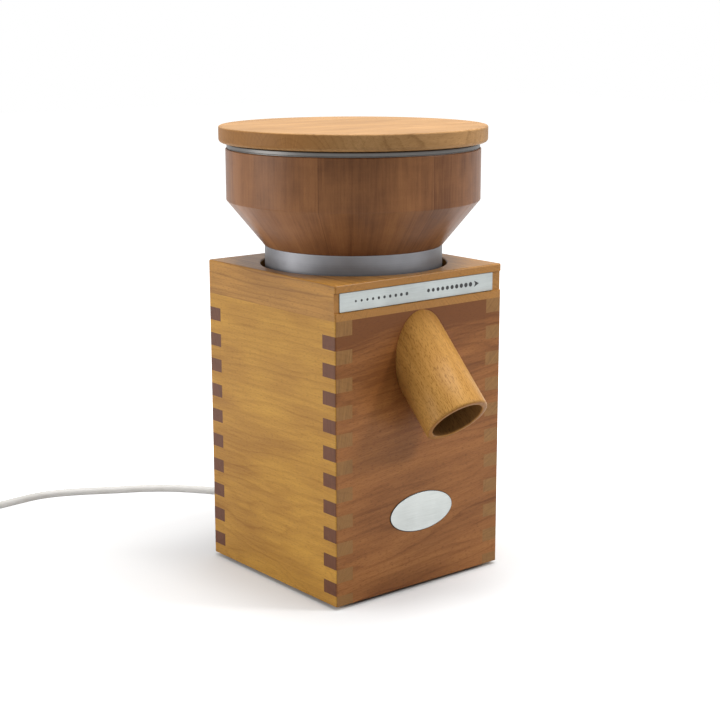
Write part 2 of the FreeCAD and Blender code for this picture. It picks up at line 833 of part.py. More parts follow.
def capacitor():
    x, y, low = capacitor_place
    top = low + capacitor_height
    can = eased(cylinder(capacitor_radius, low, top, x, y), 1.5, lambda edge: edge.BoundBox.ZMin > top - 1)
    keep("run_capacitor", can)
    middle = low + capacitor_height / 2
    band = ring(capacitor_radius + fit_gap + clip_wall, capacitor_radius + fit_gap,
                middle - clip_height / 2, middle + clip_height / 2, x, y)
    foot = block(-inner_x, x - capacitor_radius - clip_wall / 2, y - clip_foot / 2,
                 y + clip_foot / 2, middle - clip_height / 2, middle + clip_height / 2)
    hole = cylinder(capacitor_radius + fit_gap, middle - clip_height, middle + clip_height, x, y)
    keep("capacitor_clip", joined([band, foot.cut(hole)]))


def terminal_block():
    x = terminal_place.x
    low = terminal_place.z
    body = block(x - terminal_length / 2, x + terminal_length / 2, inner_y - terminal_depth,
                 inner_y, low, low + terminal_height)
    wells = []
    for step in (-1, 0, 1):
        wells.append(Part.makeCylinder(2.2, 5, Vector(x + step * terminal_length / 3.2,
                                                      inner_y - terminal_depth - 1,
                                                      low + terminal_height / 2), Vector(0, 1, 0)))
    keep("terminal_block", body.cut(wells))


def plate_screw_set(radius):
    """The shanks of the rear plate's screws, also used as their pilot holes."""
    shank = Part.makeCylinder(radius, plate_screw_length, Vector(0, plate_face, 0), Vector(0, -1, 0))
    x = plate_width / 2 - plate_screw_inset
    z = plate_height / 2 - plate_screw_inset
    shanks = []
    for side in (-1, 1):
        for end in (-1, 1):
            copy = shank.copy()
            copy.translate(Vector(side * x, 0, plate_centre + end * z))
            shanks.append(copy)
    return shanks


def rear_plate():
    raw = block(-plate_width / 2, plate_width / 2, half_depth, plate_face,
                plate_centre - plate_height / 2, plate_centre + plate_height / 2)
    def across(edge):
        return abs(edge.BoundBox.YLength - plate_thickness) < 1e-6
    raw = eased(raw, plate_corner, across)
    window = block(switch_place - switch_body_width / 2 - fit_gap,
                   switch_place + switch_body_width / 2 + fit_gap, half_depth - 1, plate_face + 1,
                   plate_centre - switch_body_height / 2 - fit_gap,
                   plate_centre + switch_body_height / 2 + fit_gap)
    gland = Part.makeCylinder(relief_neck + fit_gap, plate_thickness + 2,
                              Vector(relief_place, half_depth - 1, plate_centre), Vector(0, 1, 0))
    keep("rear_plate", raw.cut([window, gland] + plate_screw_set(plate_screw_radius + fit_gap)))
    screws = []
    for shank in plate_screw_set(plate_screw_radius):
        centre = shank.BoundBox.Center
        head = Part.makeCylinder(plate_head_radius, plate_head_height,
                                 Vector(centre.x, plate_face, centre.z), Vector(0, 1, 0))
        screws.append(joined([head, shank]))
    keep("plate_screws", *screws)


def rocker_outline():
    """The rocker seen from its side, level: a disc cut by the two halves of its hollow face."""
    disc = Part.makeCylinder(rocker_radius, rocker_width, Vector(-rocker_width / 2, 0, 0), Vector(1, 0, 0))
    size = 3 * rocker_radius
    cuts = []
    for end in (-1, 1):
        half = block(-rocker_width, rocker_width, rocker_face, rocker_face + size,
                     min(0, end * size), max(0, end * size))
        half.rotate(Vector(0, rocker_face, 0), Vector(1, 0, 0), end * rocker_tilt)
        cuts.append(half)
    return disc.cut(cuts)


def rocker_switch():
    pivot = Vector(switch_place, plate_face + switch_bezel - rocker_face + 0.4, plate_centre)
    front = plate_face + switch_bezel
    cavity_back = pivot.y - rocker_radius - turning_gap
    back = cavity_back - switch_back
    bezel = block(-switch_width / 2, switch_width / 2, plate_face, front,
                  -switch_height / 2, switch_height / 2)
    body = block(-switch_body_width / 2, switch_body_width / 2, back, plate_face + 1,
                 -switch_body_height / 2, switch_body_height / 2)
    opening = block(-rocker_width / 2 - seat_gap, rocker_width / 2 + seat_gap, cavity_back, front + 1,
                    -rocker_radius - turning_gap, rocker_radius + turning_gap)
    tabs = []
    for height in (-7.0, 0.0, 7.0):
        tabs.append(block(-tab_width / 2, tab_width / 2, back - tab_length, back + 1,
                          height - tab_thickness / 2, height + tab_thickness / 2))
    pins = rocker_pin_length + rocker_width / 2
    pin_hole = Part.makeCylinder(rocker_pin_radius + fit_gap, 2 * pins + 2 * seat_gap,
                                 Vector(-pins - seat_gap, pivot.y, 0), Vector(1, 0, 0))
    housing = joined([bezel, body] + tabs).cut([opening, pin_hole])
    housing.translate(Vector(switch_place, 0, plate_centre))
    keep("switch_housing", housing)
    pin = Part.makeCylinder(rocker_pin_radius, 2 * pins, Vector(-pins, 0, 0), Vector(1, 0, 0))
    rocker = joined([rocker_outline(), pin])
    rocker.rotate(Vector(), Vector(1, 0, 0), -rocker_tilt)
    rocker.translate(pivot)
    keep("switch_rocker", rocker)


def strain_relief():
    """The ribbed rubber sleeve where the cord leaves the rear plate, on its own axis along +Y."""
    start = half_depth - relief_flange_thickness
    tail = start - relief_tail
    tip = plate_face + relief_length
    outline = [
        (0, tail), (relief_neck - 1.4, tail), (relief_neck - 1.4, start), (relief_flange, start),
        (relief_flange, half_depth), (relief_neck, half_depth), (relief_neck, plate_face),
        (relief_root, plate_face), (relief_tip, tip), (0, tip),
    ]
    body = turned(outline)
    grooves = []
    for rib in range(relief_ribs):
        low = plate_face + 4 + rib * (relief_length - 8) / relief_ribs
        share = (low - plate_face) / relief_length
        radius = relief_root + share * (relief_tip - relief_root) - relief_rib_depth
        grooves.append(ring(relief_root + 1, radius, low, low + relief_rib_width))
    body = body.cut(grooves)
    body.rotate(Vector(), Vector(1, 0, 0), -90)
    body.translate(Vector(relief_place, 0, plate_centre))
    keep("strain_relief", body)


def tube_along(points, radius, name):
    """A round tube on straight runs joined by tangent arcs, checked against its section and length."""
    points = [Vector(*point) for point in points]
    edges = []
    radii = []
    last = points[0]
    for before, corner, after in zip(points, points[1:], points[2:]):
        way_in = corner.sub(before)
        way_out = after.sub(corner)
        half_turn = way_in.getAngle(way_out) / 2
        trim = 0.45 * min(way_in.Length, way_out.Length)
        bend = trim / math.tan(half_turn)
        radii.append(bend)
        start = corner.sub(Vector(way_in).normalize().multiply(trim))
        end = corner.add(Vector(way_out).normalize().multiply(trim))
        middle_way = start.add(end).multiply(0.5).sub(corner).normalize()
        middle = corner.add(middle_way.multiply(bend / math.cos(half_turn) - bend))
        edges.append(Part.LineSegment(last, start).toShape())
        edges.append(Part.Arc(start, middle, end).toShape())
        last = end
    edges.append(Part.LineSegment(last, points[-1]).toShape())
    path = Part.Wire(edges)
    section = Part.Circle(points[0], points[1].sub(points[0]), radius).toShape()
    tube = path.makePipeShell([Part.Wire(section)], True, False)
    share = tube.Volume / (math.pi * radius ** 2 * path.Length)
    tightest = min(radii) if radii else 0
    print(f"{name}: length {path.Length:.1f}, volume share {share:.4f}, "
          f"tightest bend {tightest:.1f}, bends {[round(bend) for bend in radii]}")
    return tube


def inner_wiring():
    """Leads inside the case: cord to terminals, switch to terminals, and both to the winding."""
    relief_end = half_depth - relief_flange_thickness - relief_tail
    block_x = terminal_place.x
    block_low_z = terminal_place.z
    block_top_z = block_low_z + terminal_height
    terminal_y = inner_y - terminal_depth / 2
    window_height_z = (stack_top + upper_disc_low) / 2
    winding_y = winding_radius + 0.5
    x, y, low = capacitor_place
    cap_top = low + capacitor_height
    leads = [
        [(relief_place, relief_end, plate_centre), (relief_place, relief_end - 8, plate_centre + 1),
         (relief_place + 6, relief_end - 11, plate_centre + 14), (block_x - 4, terminal_y, block_low_z)],
        [(switch_place, inner_y - 9, plate_centre + 12), (switch_place + 2, inner_y - 7, plate_centre + 24),
         (switch_place + 22, inner_y - 5, block_low_z - 4),
         (block_x - terminal_length / 2, terminal_y, block_low_z + 6)],
        [(x, y, cap_top), (x - 2, y - 2, cap_top + 14), (x - 10, y - 20, window_height_z - 6),
         (x - 9, y - 42, window_height_z), (-winding_y, 0, window_height_z)],
        [(block_x, terminal_y, block_top_z), (block_x + 3, terminal_y - 3, block_top_z + 34),
         (block_x - 7, terminal_y - 2, window_height_z - 12), (10, inner_y - 6, window_height_z),
         (0, winding_y, window_height_z)],
    ]
    tubes = [tube_along(points, wire_radius, "inner lead") for points in leads]
    keep("inner_wiring", *tubes)


def coil_ring():
    low = tie_thickness + tie_gap
    inner = coil_turn_radius - coil_width / 2
    outer = coil_turn_radius + coil_width / 2
    raw = ring(outer, inner, low, low + coil_height, coil_x, coil_y)
    return eased(raw, coil_corner, lambda edge: isinstance(edge.Curve, Part.Circle))


def power_cord():
    exit_y = plate_face + relief_length
    floor = cord_radius
    coil_floor = tie_thickness + tie_gap + cord_radius
    route = [
        (relief_place, exit_y, plate_centre), (relief_place, exit_y + 16, plate_centre),
        (29.5, 153, 22.5), (28, 172, 9.5), (25, 192, floor + 0.2), (19, 212, floor), (6, 232, floor),
        (-14, 256.5, floor), (-38, 276, floor), (-63, 288.5, floor), (-92, 306.5, floor),
        (-125, 320, floor), (-157, 317, floor), (-186, 314.5, floor),
        (-212, 315.8, coil_floor - 0.4), (-234, 316.8, coil_floor),
    ]
    coil = coil_ring()
    keep("power_cord", tube_along(route, cord_radius, "power cord").cut(coil))
    rear = plug_back + fit_gap
    tail = [
        (coil_x - 42.6, 264, 12.6), (coil_x - 42.4, 250, 14.0), (plug_x, rear + 14, plug_head_radius),
        (plug_x, rear, plug_head_radius),
    ]
    keep("cord_tail", tube_along(tail, cord_radius, "cord tail").cut(coil))


def cord_coil():
    low = tie_thickness + tie_gap
    inner = coil_turn_radius - coil_width / 2
    outer = coil_turn_radius + coil_width / 2
    keep("cord_coil", coil_ring())
    gap = tie_gap
    wall = tie_thickness
    half = tie_width / 2
    outside = block(inner - gap - wall, outer + gap + wall, -half, half, 0, low + coil_height + gap + wall)
    inside = block(inner - gap, outer + gap, -half - 1, half + 1, wall, low + coil_height + gap)
    band = outside.cut(inside)
    band.rotate(Vector(), Vector(0, 0, 1), -60)
    band.translate(Vector(coil_x, coil_y, 0))
    keep("cord_tie", band)


def plug():
    """A straight two-pin plug with side earth contacts, lying on the rim of its head."""
    neck_end = plug_neck
    grip_end = neck_end + plug_grip
    face = grip_end + plug_head
    body = turned([
        (0, 0), (plug_neck_radius - 1, 0), (plug_neck_radius + 1, neck_end), (plug_grip_radius - 2, neck_end),
        (plug_grip_radius, neck_end + 4), (plug_grip_radius, grip_end - 4), (plug_head_radius - 2, grip_end),
        (plug_head_radius, grip_end + 2), (plug_head_radius, face), (0, face),
    ])
    contacts = []
    for side in (-1, 1):
        edge = plug_head_radius - contact_thickness
        low, high = sorted((side * edge, side * (plug_head_radius + 1)))
        contacts.append(block(low, high, -contact_width / 2, contact_width / 2, grip_end + 4, face + 1))
    strips = []
    for side in (-1, 1):
        edge = plug_head_radius - contact_thickness
        low, high = sorted((side * edge, side * (edge + contact_thickness / 2)))
        strips.append(block(low, high, -contact_width / 2 + 0.1, contact_width / 2 - 0.1,
                            grip_end + 4.1, face))
    pins = []
    for side in (-1, 1):
        pin = cylinder(plug_pin_radius, face, face + plug_pin_length, 0, side * plug_pin_spacing / 2)
        pins.append(eased(pin, 1.2, lambda edge: edge.BoundBox.ZMin > face + plug_pin_length - 1))
    body = body.cut(contacts)
    turned_over = (Part.makeCompound([body]), Part.makeCompound(pins), Part.makeCompound(strips))
    names = ("plug_body", "plug_pins", "plug_earth_contacts")
    for name, shape in zip(names, turned_over):
        shape.rotate(Vector(), Vector(0, 0, 1), 90)
        shape.rotate(Vector(), Vector(1, 0, 0), 90)
        shape.translate(Vector(plug_x, plug_back, plug_head_radius))
        keep(name, *shape.Solids)


def lid():
    body = cylinder(lid_radius, lid_low, lid_top)
    body = eased(body, lid_rounding, circle_at(lid_low, lid_radius))
    body = eased(body, lid_top_rounding, circle_at(lid_top, lid_radius))
    spigot_radius = bowl_radius - bowl_wall - spigot_gap
    spigot_low = lid_low - spigot_thickness
    pilots = around(cylinder(spigot_screw_radius + fit_gap, lid_low - 1,
                             spigot_low + spigot_screw_length + 1, spigot_screw_circle), 4, 45)
    holes = around(cylinder(spigot_screw_radius + fit_gap, spigot_low - 1, lid_low + 1,
                            spigot_screw_circle), 4, 45)
    heads = around(cylinder(spigot_head_radius + fit_gap, spigot_low - 1,
                            spigot_low + spigot_head_height, spigot_screw_circle), 4, 45)
    keep("lid", body.cut(pilots))
    keep("lid_spigot", cylinder(spigot_radius, spigot_low, lid_low).cut(holes + heads))
    screw = joined([cylinder(spigot_head_radius, spigot_low, spigot_low + spigot_head_height,
                             spigot_screw_circle),
                    cylinder(spigot_screw_radius, spigot_low + 1, spigot_low + spigot_screw_length,
                             spigot_screw_circle)])
    keep("lid_screws", *around(screw, 4, 45))


makers = (
    side_panels, front_panel, rear_panel, top_block, corner_cleats, base_plate, feet, scale_strip,
    oval_plate, spout, milling_chamber, collar, thread_seal, bowl, hopper_screws, feed_funnel,
    upper_stone, lower_stone, stone_carrier, stone_spring, motor_shaft, rotor_core, cooling_fan,
    motor_stack, motor_shields, capacitor, terminal_block, rear_plate, rocker_switch,
    strain_relief, inner_wiring, power_cord, cord_coil, plug, lid,
)
for make in makers:
    make()

os.makedirs("parts", exist_ok=True)
for name, shape in parts.items():
    if not shape.isValid() or any(solid.Volume <= 0 for solid in shape.Solids):
        print(f"{name} isn't a sound solid")
    shape.exportStep(f"parts/{name}.step")
print(f"{len(parts)} nodes, stones at {lower_face:.2f} and {upper_face:.2f}, top {lid_top:.1f}")
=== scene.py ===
"""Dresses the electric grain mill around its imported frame. Metres, Z up, spout towards -Y."""

import logging
import math
from dataclasses import dataclass
from enum import Enum
from typing import Sequence

import bpy
import numpy as np
from mathutils import Matrix, Vector


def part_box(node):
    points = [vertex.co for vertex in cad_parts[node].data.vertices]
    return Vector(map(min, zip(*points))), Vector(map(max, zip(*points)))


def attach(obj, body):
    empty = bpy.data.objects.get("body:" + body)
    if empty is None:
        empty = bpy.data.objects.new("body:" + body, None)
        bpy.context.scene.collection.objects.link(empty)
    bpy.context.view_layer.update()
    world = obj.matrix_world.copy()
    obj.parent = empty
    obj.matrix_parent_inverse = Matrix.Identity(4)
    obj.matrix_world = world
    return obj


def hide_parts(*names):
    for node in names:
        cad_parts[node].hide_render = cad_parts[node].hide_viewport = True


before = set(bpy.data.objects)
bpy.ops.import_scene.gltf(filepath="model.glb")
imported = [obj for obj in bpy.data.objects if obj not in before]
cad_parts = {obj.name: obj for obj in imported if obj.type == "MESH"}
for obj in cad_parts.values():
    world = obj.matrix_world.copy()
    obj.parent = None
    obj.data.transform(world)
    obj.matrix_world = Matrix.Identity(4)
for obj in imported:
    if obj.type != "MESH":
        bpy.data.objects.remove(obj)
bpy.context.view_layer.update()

MM = 0.001
Tree, Socket, Piece = bpy.types.NodeTree, bpy.types.NodeSocket, bpy.types.Object
Triple = tuple[float, float, float]
log = logging.getLogger("grain_mill")


class Axis(Enum):
    """The direction that a board's grain runs in, as the turn that brings it to a pattern's own Z."""

    ALONG_X = (0.0, -90.0, 0.0)
    ALONG_Y = (90.0, 0.0, 0.0)
    ALONG_Z = (0.0, 0.0, 0.0)


class MetalSurface(Enum):
    """How a metal piece was finished, which sets the pattern of its fine marks."""

    TURNED = "turned"
    ROLLED = "rolled"
    CAST = "cast"


def linear(hex_colour: str) -> tuple[float, float, float, float]:
    """Turns an sRGB hex colour into linear light.

    Args:
        hex_colour: A colour such as "#c8a060".

    Returns:
        Red, green, blue and a full alpha.
    """
    channels = np.array([int(hex_colour[place:place + 2], 16) for place in (1, 3, 5)]) / 255
    bent = ((channels + 0.055) / 1.055) ** 2.4
    red, green, blue = np.where(channels <= 0.04045, channels / 12.92, bent)
    return float(red), float(green), float(blue), 1.0


def add_node(tree: Tree, kind: str, inputs: dict | None = None,
             stops: Sequence[tuple[float, float]] = (), **settings: object) -> bpy.types.Node:
    """Adds one shader node with its settings and links.

    Args:
        tree: The node tree to add to.
        kind: The node's type name without its "ShaderNode" start.
        inputs: Socket name or number, with a value, or the output socket that feeds it, or a node
            for its first output.
        stops: Places and grey values of a colour ramp.
        settings: Attributes of the node.

    Returns:
        The new node.
    """
    node = tree.nodes.new("ShaderNode" + kind)
    for name, value in settings.items():
        setattr(node, name, value)
    for key, value in (inputs or {}).items():
        if isinstance(value, bpy.types.Node):
            value = value.outputs[0]
        if isinstance(value, Socket):
            tree.links.new(value, node.inputs[key])
        else:
            node.inputs[key].default_value = value
    for number, (place, grey) in enumerate(stops):
        elements = node.color_ramp.elements
        element = elements[number] if number < 2 else elements.new(place)
        element.position = place
        element.color = (grey, grey, grey, 1)
    return node


@dataclass(frozen=True)
class Finish:
    """A finish that any piece can take.

    Attributes:
        name: The material's name, after what the real one is.
        roughness: Roughness of its clean surface.
    """

    name: str
    roughness: float

    def material(self) -> bpy.types.Material:
        """Returns the finish as a Blender material, made once."""
        found = bpy.data.materials.get(self.name)
        if found:
            return found
        made = bpy.data.materials.new(self.name)
        made.use_nodes = True
        shader = made.node_tree.nodes["Principled BSDF"]
        shader.inputs["Roughness"].default_value = self.roughness
        self.draw(made.node_tree, shader)
        return made

    def draw(self, tree: Tree, shader: bpy.types.Node) -> None:
        """Adds the pattern nodes of this finish to its tree."""
        raise NotImplementedError

    def finish_surface(self, tree: Tree, shader: bpy.types.Node,
                       colour: Socket, height: Socket,
                       depth_mm: float, rough: tuple[float, float]) -> None:
        """Links colour, bump and roughness to the shader.

        Args:
            tree: The material's tree.
            shader: Its Principled shader.
            colour: Socket of the colour.
            height: Socket of the relief, 0 to 1.
            depth_mm: Depth of the relief.
            rough: Roughness where the relief is low and where it is high.
        """
        tree.links.new(colour, shader.inputs["Base Color"])
        bump = add_node(tree, "Bump", {"Height": height, "Distance": depth_mm * MM, "Strength": 1.0})
        tree.links.new(bump.outputs[0], shader.inputs["Normal"])
        spread = add_node(tree, "MapRange", {0: height, 3: rough[0], 4: rough[1]})
        tree.links.new(spread.outputs[0], shader.inputs["Roughness"])


@dataclass(frozen=True)
class Beech(Finish):
    """Oiled steamed beech, sawn or turned: pale, with thin darker ring lines and short ray flecks.

    What gives it away is the fine, even fleck of 2 to 4 mm dashes along the grain, under soft
    bands of colour. Where the grain ends, it is darker and shows fine stripes.

    Attributes:
        pale: Colour between the rings.
        deep: Colour of the ring lines and streaks.
        fleck: Colour of the ray flecks and of the pores.
        end: Colour of the end grain.
        grain: Turn, in degrees, that brings the grain's direction to the pattern's Z.
        pith_mm: Place of the log's pith from the frame's origin, after that turn.
        ring_mm: Width of a year's ring.
        wander_mm: How far the rings wander along the board.
        ring_weight: How much of the colour comes from the rings.
        fleck_weight: How strongly the flecks show.
        mottle_weight: How much of the colour comes from broad soft patches.
        ribbon_weight: How much of it comes from long streaks, a few millimetres wide.
        sheen: Specular level of the oiled surface, which is duller than varnish.
        fleck_mm: Width and length of a fleck.
        fleck_from: Noise value from which a fleck shows, lower for more of them.
        polish: Weight of the thin film of wax on top, which shines at a flat angle.
        painted_shade_mm: Distances from the pith between which the colour darkens; on the front board this
            darkens it towards its top, as painted shade.
        tone_and_shade_weight: How much it darkens: painted shade on the front board, and each stave's own
            tone on the bowl.
        rays_per_radian: How close the rays stand on the end grain.
        wander_cell_mm: Width and length of the patches in which the rings wander.
        ripple_cell_mm: Those of the small ripple in a ring line.
        fibre_cell_mm: Those of a bundle of fibres.
        patch_cell_mm: Those of a broad soft patch.
        ribbon_cell_mm: Those of a long streak.
        pore_cell_mm: Those of a pore on the end grain.
        ring_profile: Places across a year's ring, each with its depth of colour.
        relief_mm: Depth of the open grain.
        wax_roughness: Roughness of the film of wax.
    """

    pale: str
    deep: str
    fleck: str
    end: str
    grain: Triple
    pith_mm: Triple
    ring_mm: float = 3.4
    wander_mm: float = 16.0
    ring_weight: float = 0.3
    fleck_weight: float = 0.55
    mottle_weight: float = 0.5
    ribbon_weight: float = 0.45
    sheen: float = 0.22
    fleck_mm: tuple[float, float] = (0.55, 3.6)
    fleck_from: float = 0.55
    polish: float = 0.0
    painted_shade_mm: tuple[float, float] = (0.0, 1.0)
    tone_and_shade_weight: float = 0.0
    rays_per_radian: float = 160.0
    wander_cell_mm: tuple[float, float] = (55.0, 190.0)
    ripple_cell_mm: tuple[float, float] = (7.0, 60.0)
    fibre_cell_mm: tuple[float, float] = (1.3, 26.0)
    patch_cell_mm: tuple[float, float] = (26.0, 85.0)
    ribbon_cell_mm: tuple[float, float] = (4.5, 75.0)
    pore_cell_mm: tuple[float, float] = (0.5, 8.0)
    ring_profile: tuple[tuple[float, float], ...] = ((0.0, 0.0), (0.55, 0.22), (0.86, 1.0), (1.0, 0.0))
    relief_mm: float = 0.05
    wax_roughness: float = 0.22

    def grain_space(self, tree: Tree) -> tuple[Socket, Socket]:
        """Makes the pattern's own space, with the grain along Z and the pith on its axis.

        Args:
            tree: The material's tree.

        Returns:
            The place in millimetres, and 0 on long grain to 1 on end grain.
        """
        turn = tuple(math.radians(angle) for angle in self.grain)
        source = add_node(tree, "TexCoord")
        place = add_node(tree, "Mapping", {"Vector": source.outputs["Object"], "Location": self.pith_mm,
                                           "Rotation": turn, "Scale": (1 / MM, 1 / MM, 1 / MM)})
        facing = add_node(tree, "Mapping", {"Vector": source.outputs["Normal"], "Rotation": turn},
                          vector_type="VECTOR")
        parts = add_node(tree, "SeparateXYZ", {0: facing})
        upright = add_node(tree, "Math", {0: parts.outputs[2]}, operation="ABSOLUTE")
        ending = add_node(tree, "MapRange", {0: upright, 1: 0.6, 2: 0.9})
        return place.outputs[0], ending.outputs[0]

    def grain_noise(self, tree: Tree, place: Socket, across_mm: float,
                    along_mm: float, detail: float = 2.0) -> Socket:
        """Noise with cells of a given width across and length along the grain.

        Args:
            tree: The material's tree.
            place: The place in the pattern's space.
            across_mm: Size of a cell across the grain.
            along_mm: Size of a cell along the grain.
            detail: Octaves of finer noise on top.

        Returns:
            Socket of the noise, 0 to 1.
        """
        scaled = add_node(tree, "Mapping", {"Vector": place,
                                            "Scale": (1 / across_mm, 1 / across_mm, 1 / along_mm)})
        return add_node(tree, "TexNoise", {"Vector": scaled, "Scale": 1.0,
                                           "Detail": detail}).outputs[0]

    def blend_sum(self, tree: Tree,
                  terms: Sequence[tuple[Socket, float]]) -> Socket:
        """Adds up sockets by their weights.

        Args:
            tree: The material's tree.
            terms: Each socket with its weight.

        Returns:
            Socket of the weighted sum.
        """
        total: Socket | float = 0.0
        for socket, weight in terms:
            total = add_node(tree, "Math", {0: socket, 1: weight, 2: total},
                             operation="MULTIPLY_ADD").outputs[0]
        return total

    def tone(self, tree: Tree, distance: Socket) -> Socket:
        """Darkens the colour over a range of distances from the pith, which on the front board is painted
        shade towards its top.

        Args:
            tree: The material's tree.
            distance: Distance from the pith, in millimetres.

        Returns:
            Socket of the tone, 0 to 1.
        """
        return add_node(tree, "MapRange", {0: distance, 1: self.painted_shade_mm[0], 2: self.painted_shade_mm[1]},
                        interpolation_type="SMOOTHSTEP").outputs[0]

    def draw(self, tree: Tree, shader: bpy.types.Node) -> None:
        """Ring lines from the distance to a wandering pith, with fibres, flecks and patches."""
        shader.inputs["Specular IOR Level"].default_value = self.sheen
        shader.inputs["Coat Weight"].default_value = self.polish
        shader.inputs["Coat Roughness"].default_value = self.wax_roughness
        place, ending = self.grain_space(tree)
        wander = self.grain_noise(tree, place, *self.wander_cell_mm)
        ripple = self.grain_noise(tree, place, *self.ripple_cell_mm)
        parts = add_node(tree, "SeparateXYZ", {0: place})
        shifted = self.blend_sum(tree, ((parts.outputs[0], 1.0), (wander, 2 * self.wander_mm)))
        flat = add_node(tree, "CombineXYZ", {0: shifted, 1: parts.outputs[1]})
        distance = add_node(tree, "VectorMath", {0: flat}, operation="LENGTH").outputs["Value"]
        phase = self.blend_sum(tree, ((distance, 1 / self.ring_mm), (ripple, 1.1)))
        inside = add_node(tree, "Math", {0: phase}, operation="FRACT")
        line = add_node(tree, "ValToRGB", {0: inside},
                        stops=self.ring_profile)
        year = add_node(tree, "Math", {0: phase}, operation="FLOOR")
        strength = add_node(tree, "TexWhiteNoise", {"W": year}, noise_dimensions="1D")
        shown = add_node(tree, "MapRange", {0: strength, 3: 0.25, 4: 1.0})
        rings = add_node(tree, "Math", {0: line, 1: shown},
                         operation="MULTIPLY").outputs[0]
        fibre = self.grain_noise(tree, place, *self.fibre_cell_mm, 3.0)
        mottle = self.grain_noise(tree, place, *self.patch_cell_mm)
        dash = self.grain_noise(tree, place, *self.fleck_mm, 1.0)
        flecks = add_node(tree, "ValToRGB", {0: dash},
                          stops=((self.fleck_from, 0.0), (self.fleck_from + 0.14, 1.0)))
        ribbon = self.grain_noise(tree, place, *self.ribbon_cell_mm, 3.0)
        # The tone term is painted shade on the front board, darker towards its top, and each stave's own tone
        # on the bowl.
        amount = self.blend_sum(tree, ((rings, self.ring_weight), (fibre, 0.5), (ribbon, self.ribbon_weight),
                                       (mottle, 2 * self.mottle_weight),
                                       (self.tone(tree, distance), self.tone_and_shade_weight)))
        spread = self.mottle_weight + 0.5 * self.ribbon_weight
        depth = add_node(tree, "MapRange", {0: amount, 1: 0.2 + 0.6 * spread, 2: 0.55 + 1.25 * spread})
        long_grain = add_node(tree, "Mix", {0: depth, 6: linear(self.pale), 7: linear(self.deep)},
                              data_type="RGBA")
        speck = add_node(tree, "Math", {0: flecks, 1: self.fleck_weight}, operation="MULTIPLY")
        flecked = add_node(tree, "Mix", {0: speck, 6: long_grain.outputs[2],
                                         7: linear(self.fleck)}, data_type="RGBA")
        turn = add_node(tree, "Math", {0: parts.outputs[1], 1: parts.outputs[0]}, operation="ARCTAN2")
        polar = add_node(tree, "CombineXYZ", {0: turn, 1: distance}).outputs[0]
        scaled = add_node(tree, "Mapping", {"Vector": polar, "Scale": (self.rays_per_radian, 0.05, 1.0)})
        rays = add_node(tree, "TexNoise", {"Vector": scaled, "Scale": 1.0,
                                           "Detail": 2.0}).outputs[0]
        pores = self.grain_noise(tree, place, *self.pore_cell_mm)
        stripe = self.blend_sum(tree, ((rings, 0.15), (rays, 0.8), (pores, 0.3)))
        end_tone = add_node(tree, "MapRange", {0: stripe, 1: 0.35, 2: 0.9, 3: 1.25, 4: 0.7})
        end_grain = add_node(tree, "VectorMath", {0: linear(self.end)[:3], "Scale": end_tone},
                             operation="SCALE")
        colour = add_node(tree, "Mix", {0: ending, 6: flecked.outputs[2], 7: end_grain},
                          data_type="RGBA")
        relief = self.blend_sum(tree, ((fibre, 0.5), (dash, -0.35), (line.outputs[0], 0.2)))
        self.finish_surface(tree, shader, colour.outputs[2], relief, self.relief_mm,
                            (self.roughness - 0.06, self.roughness + 0.1))


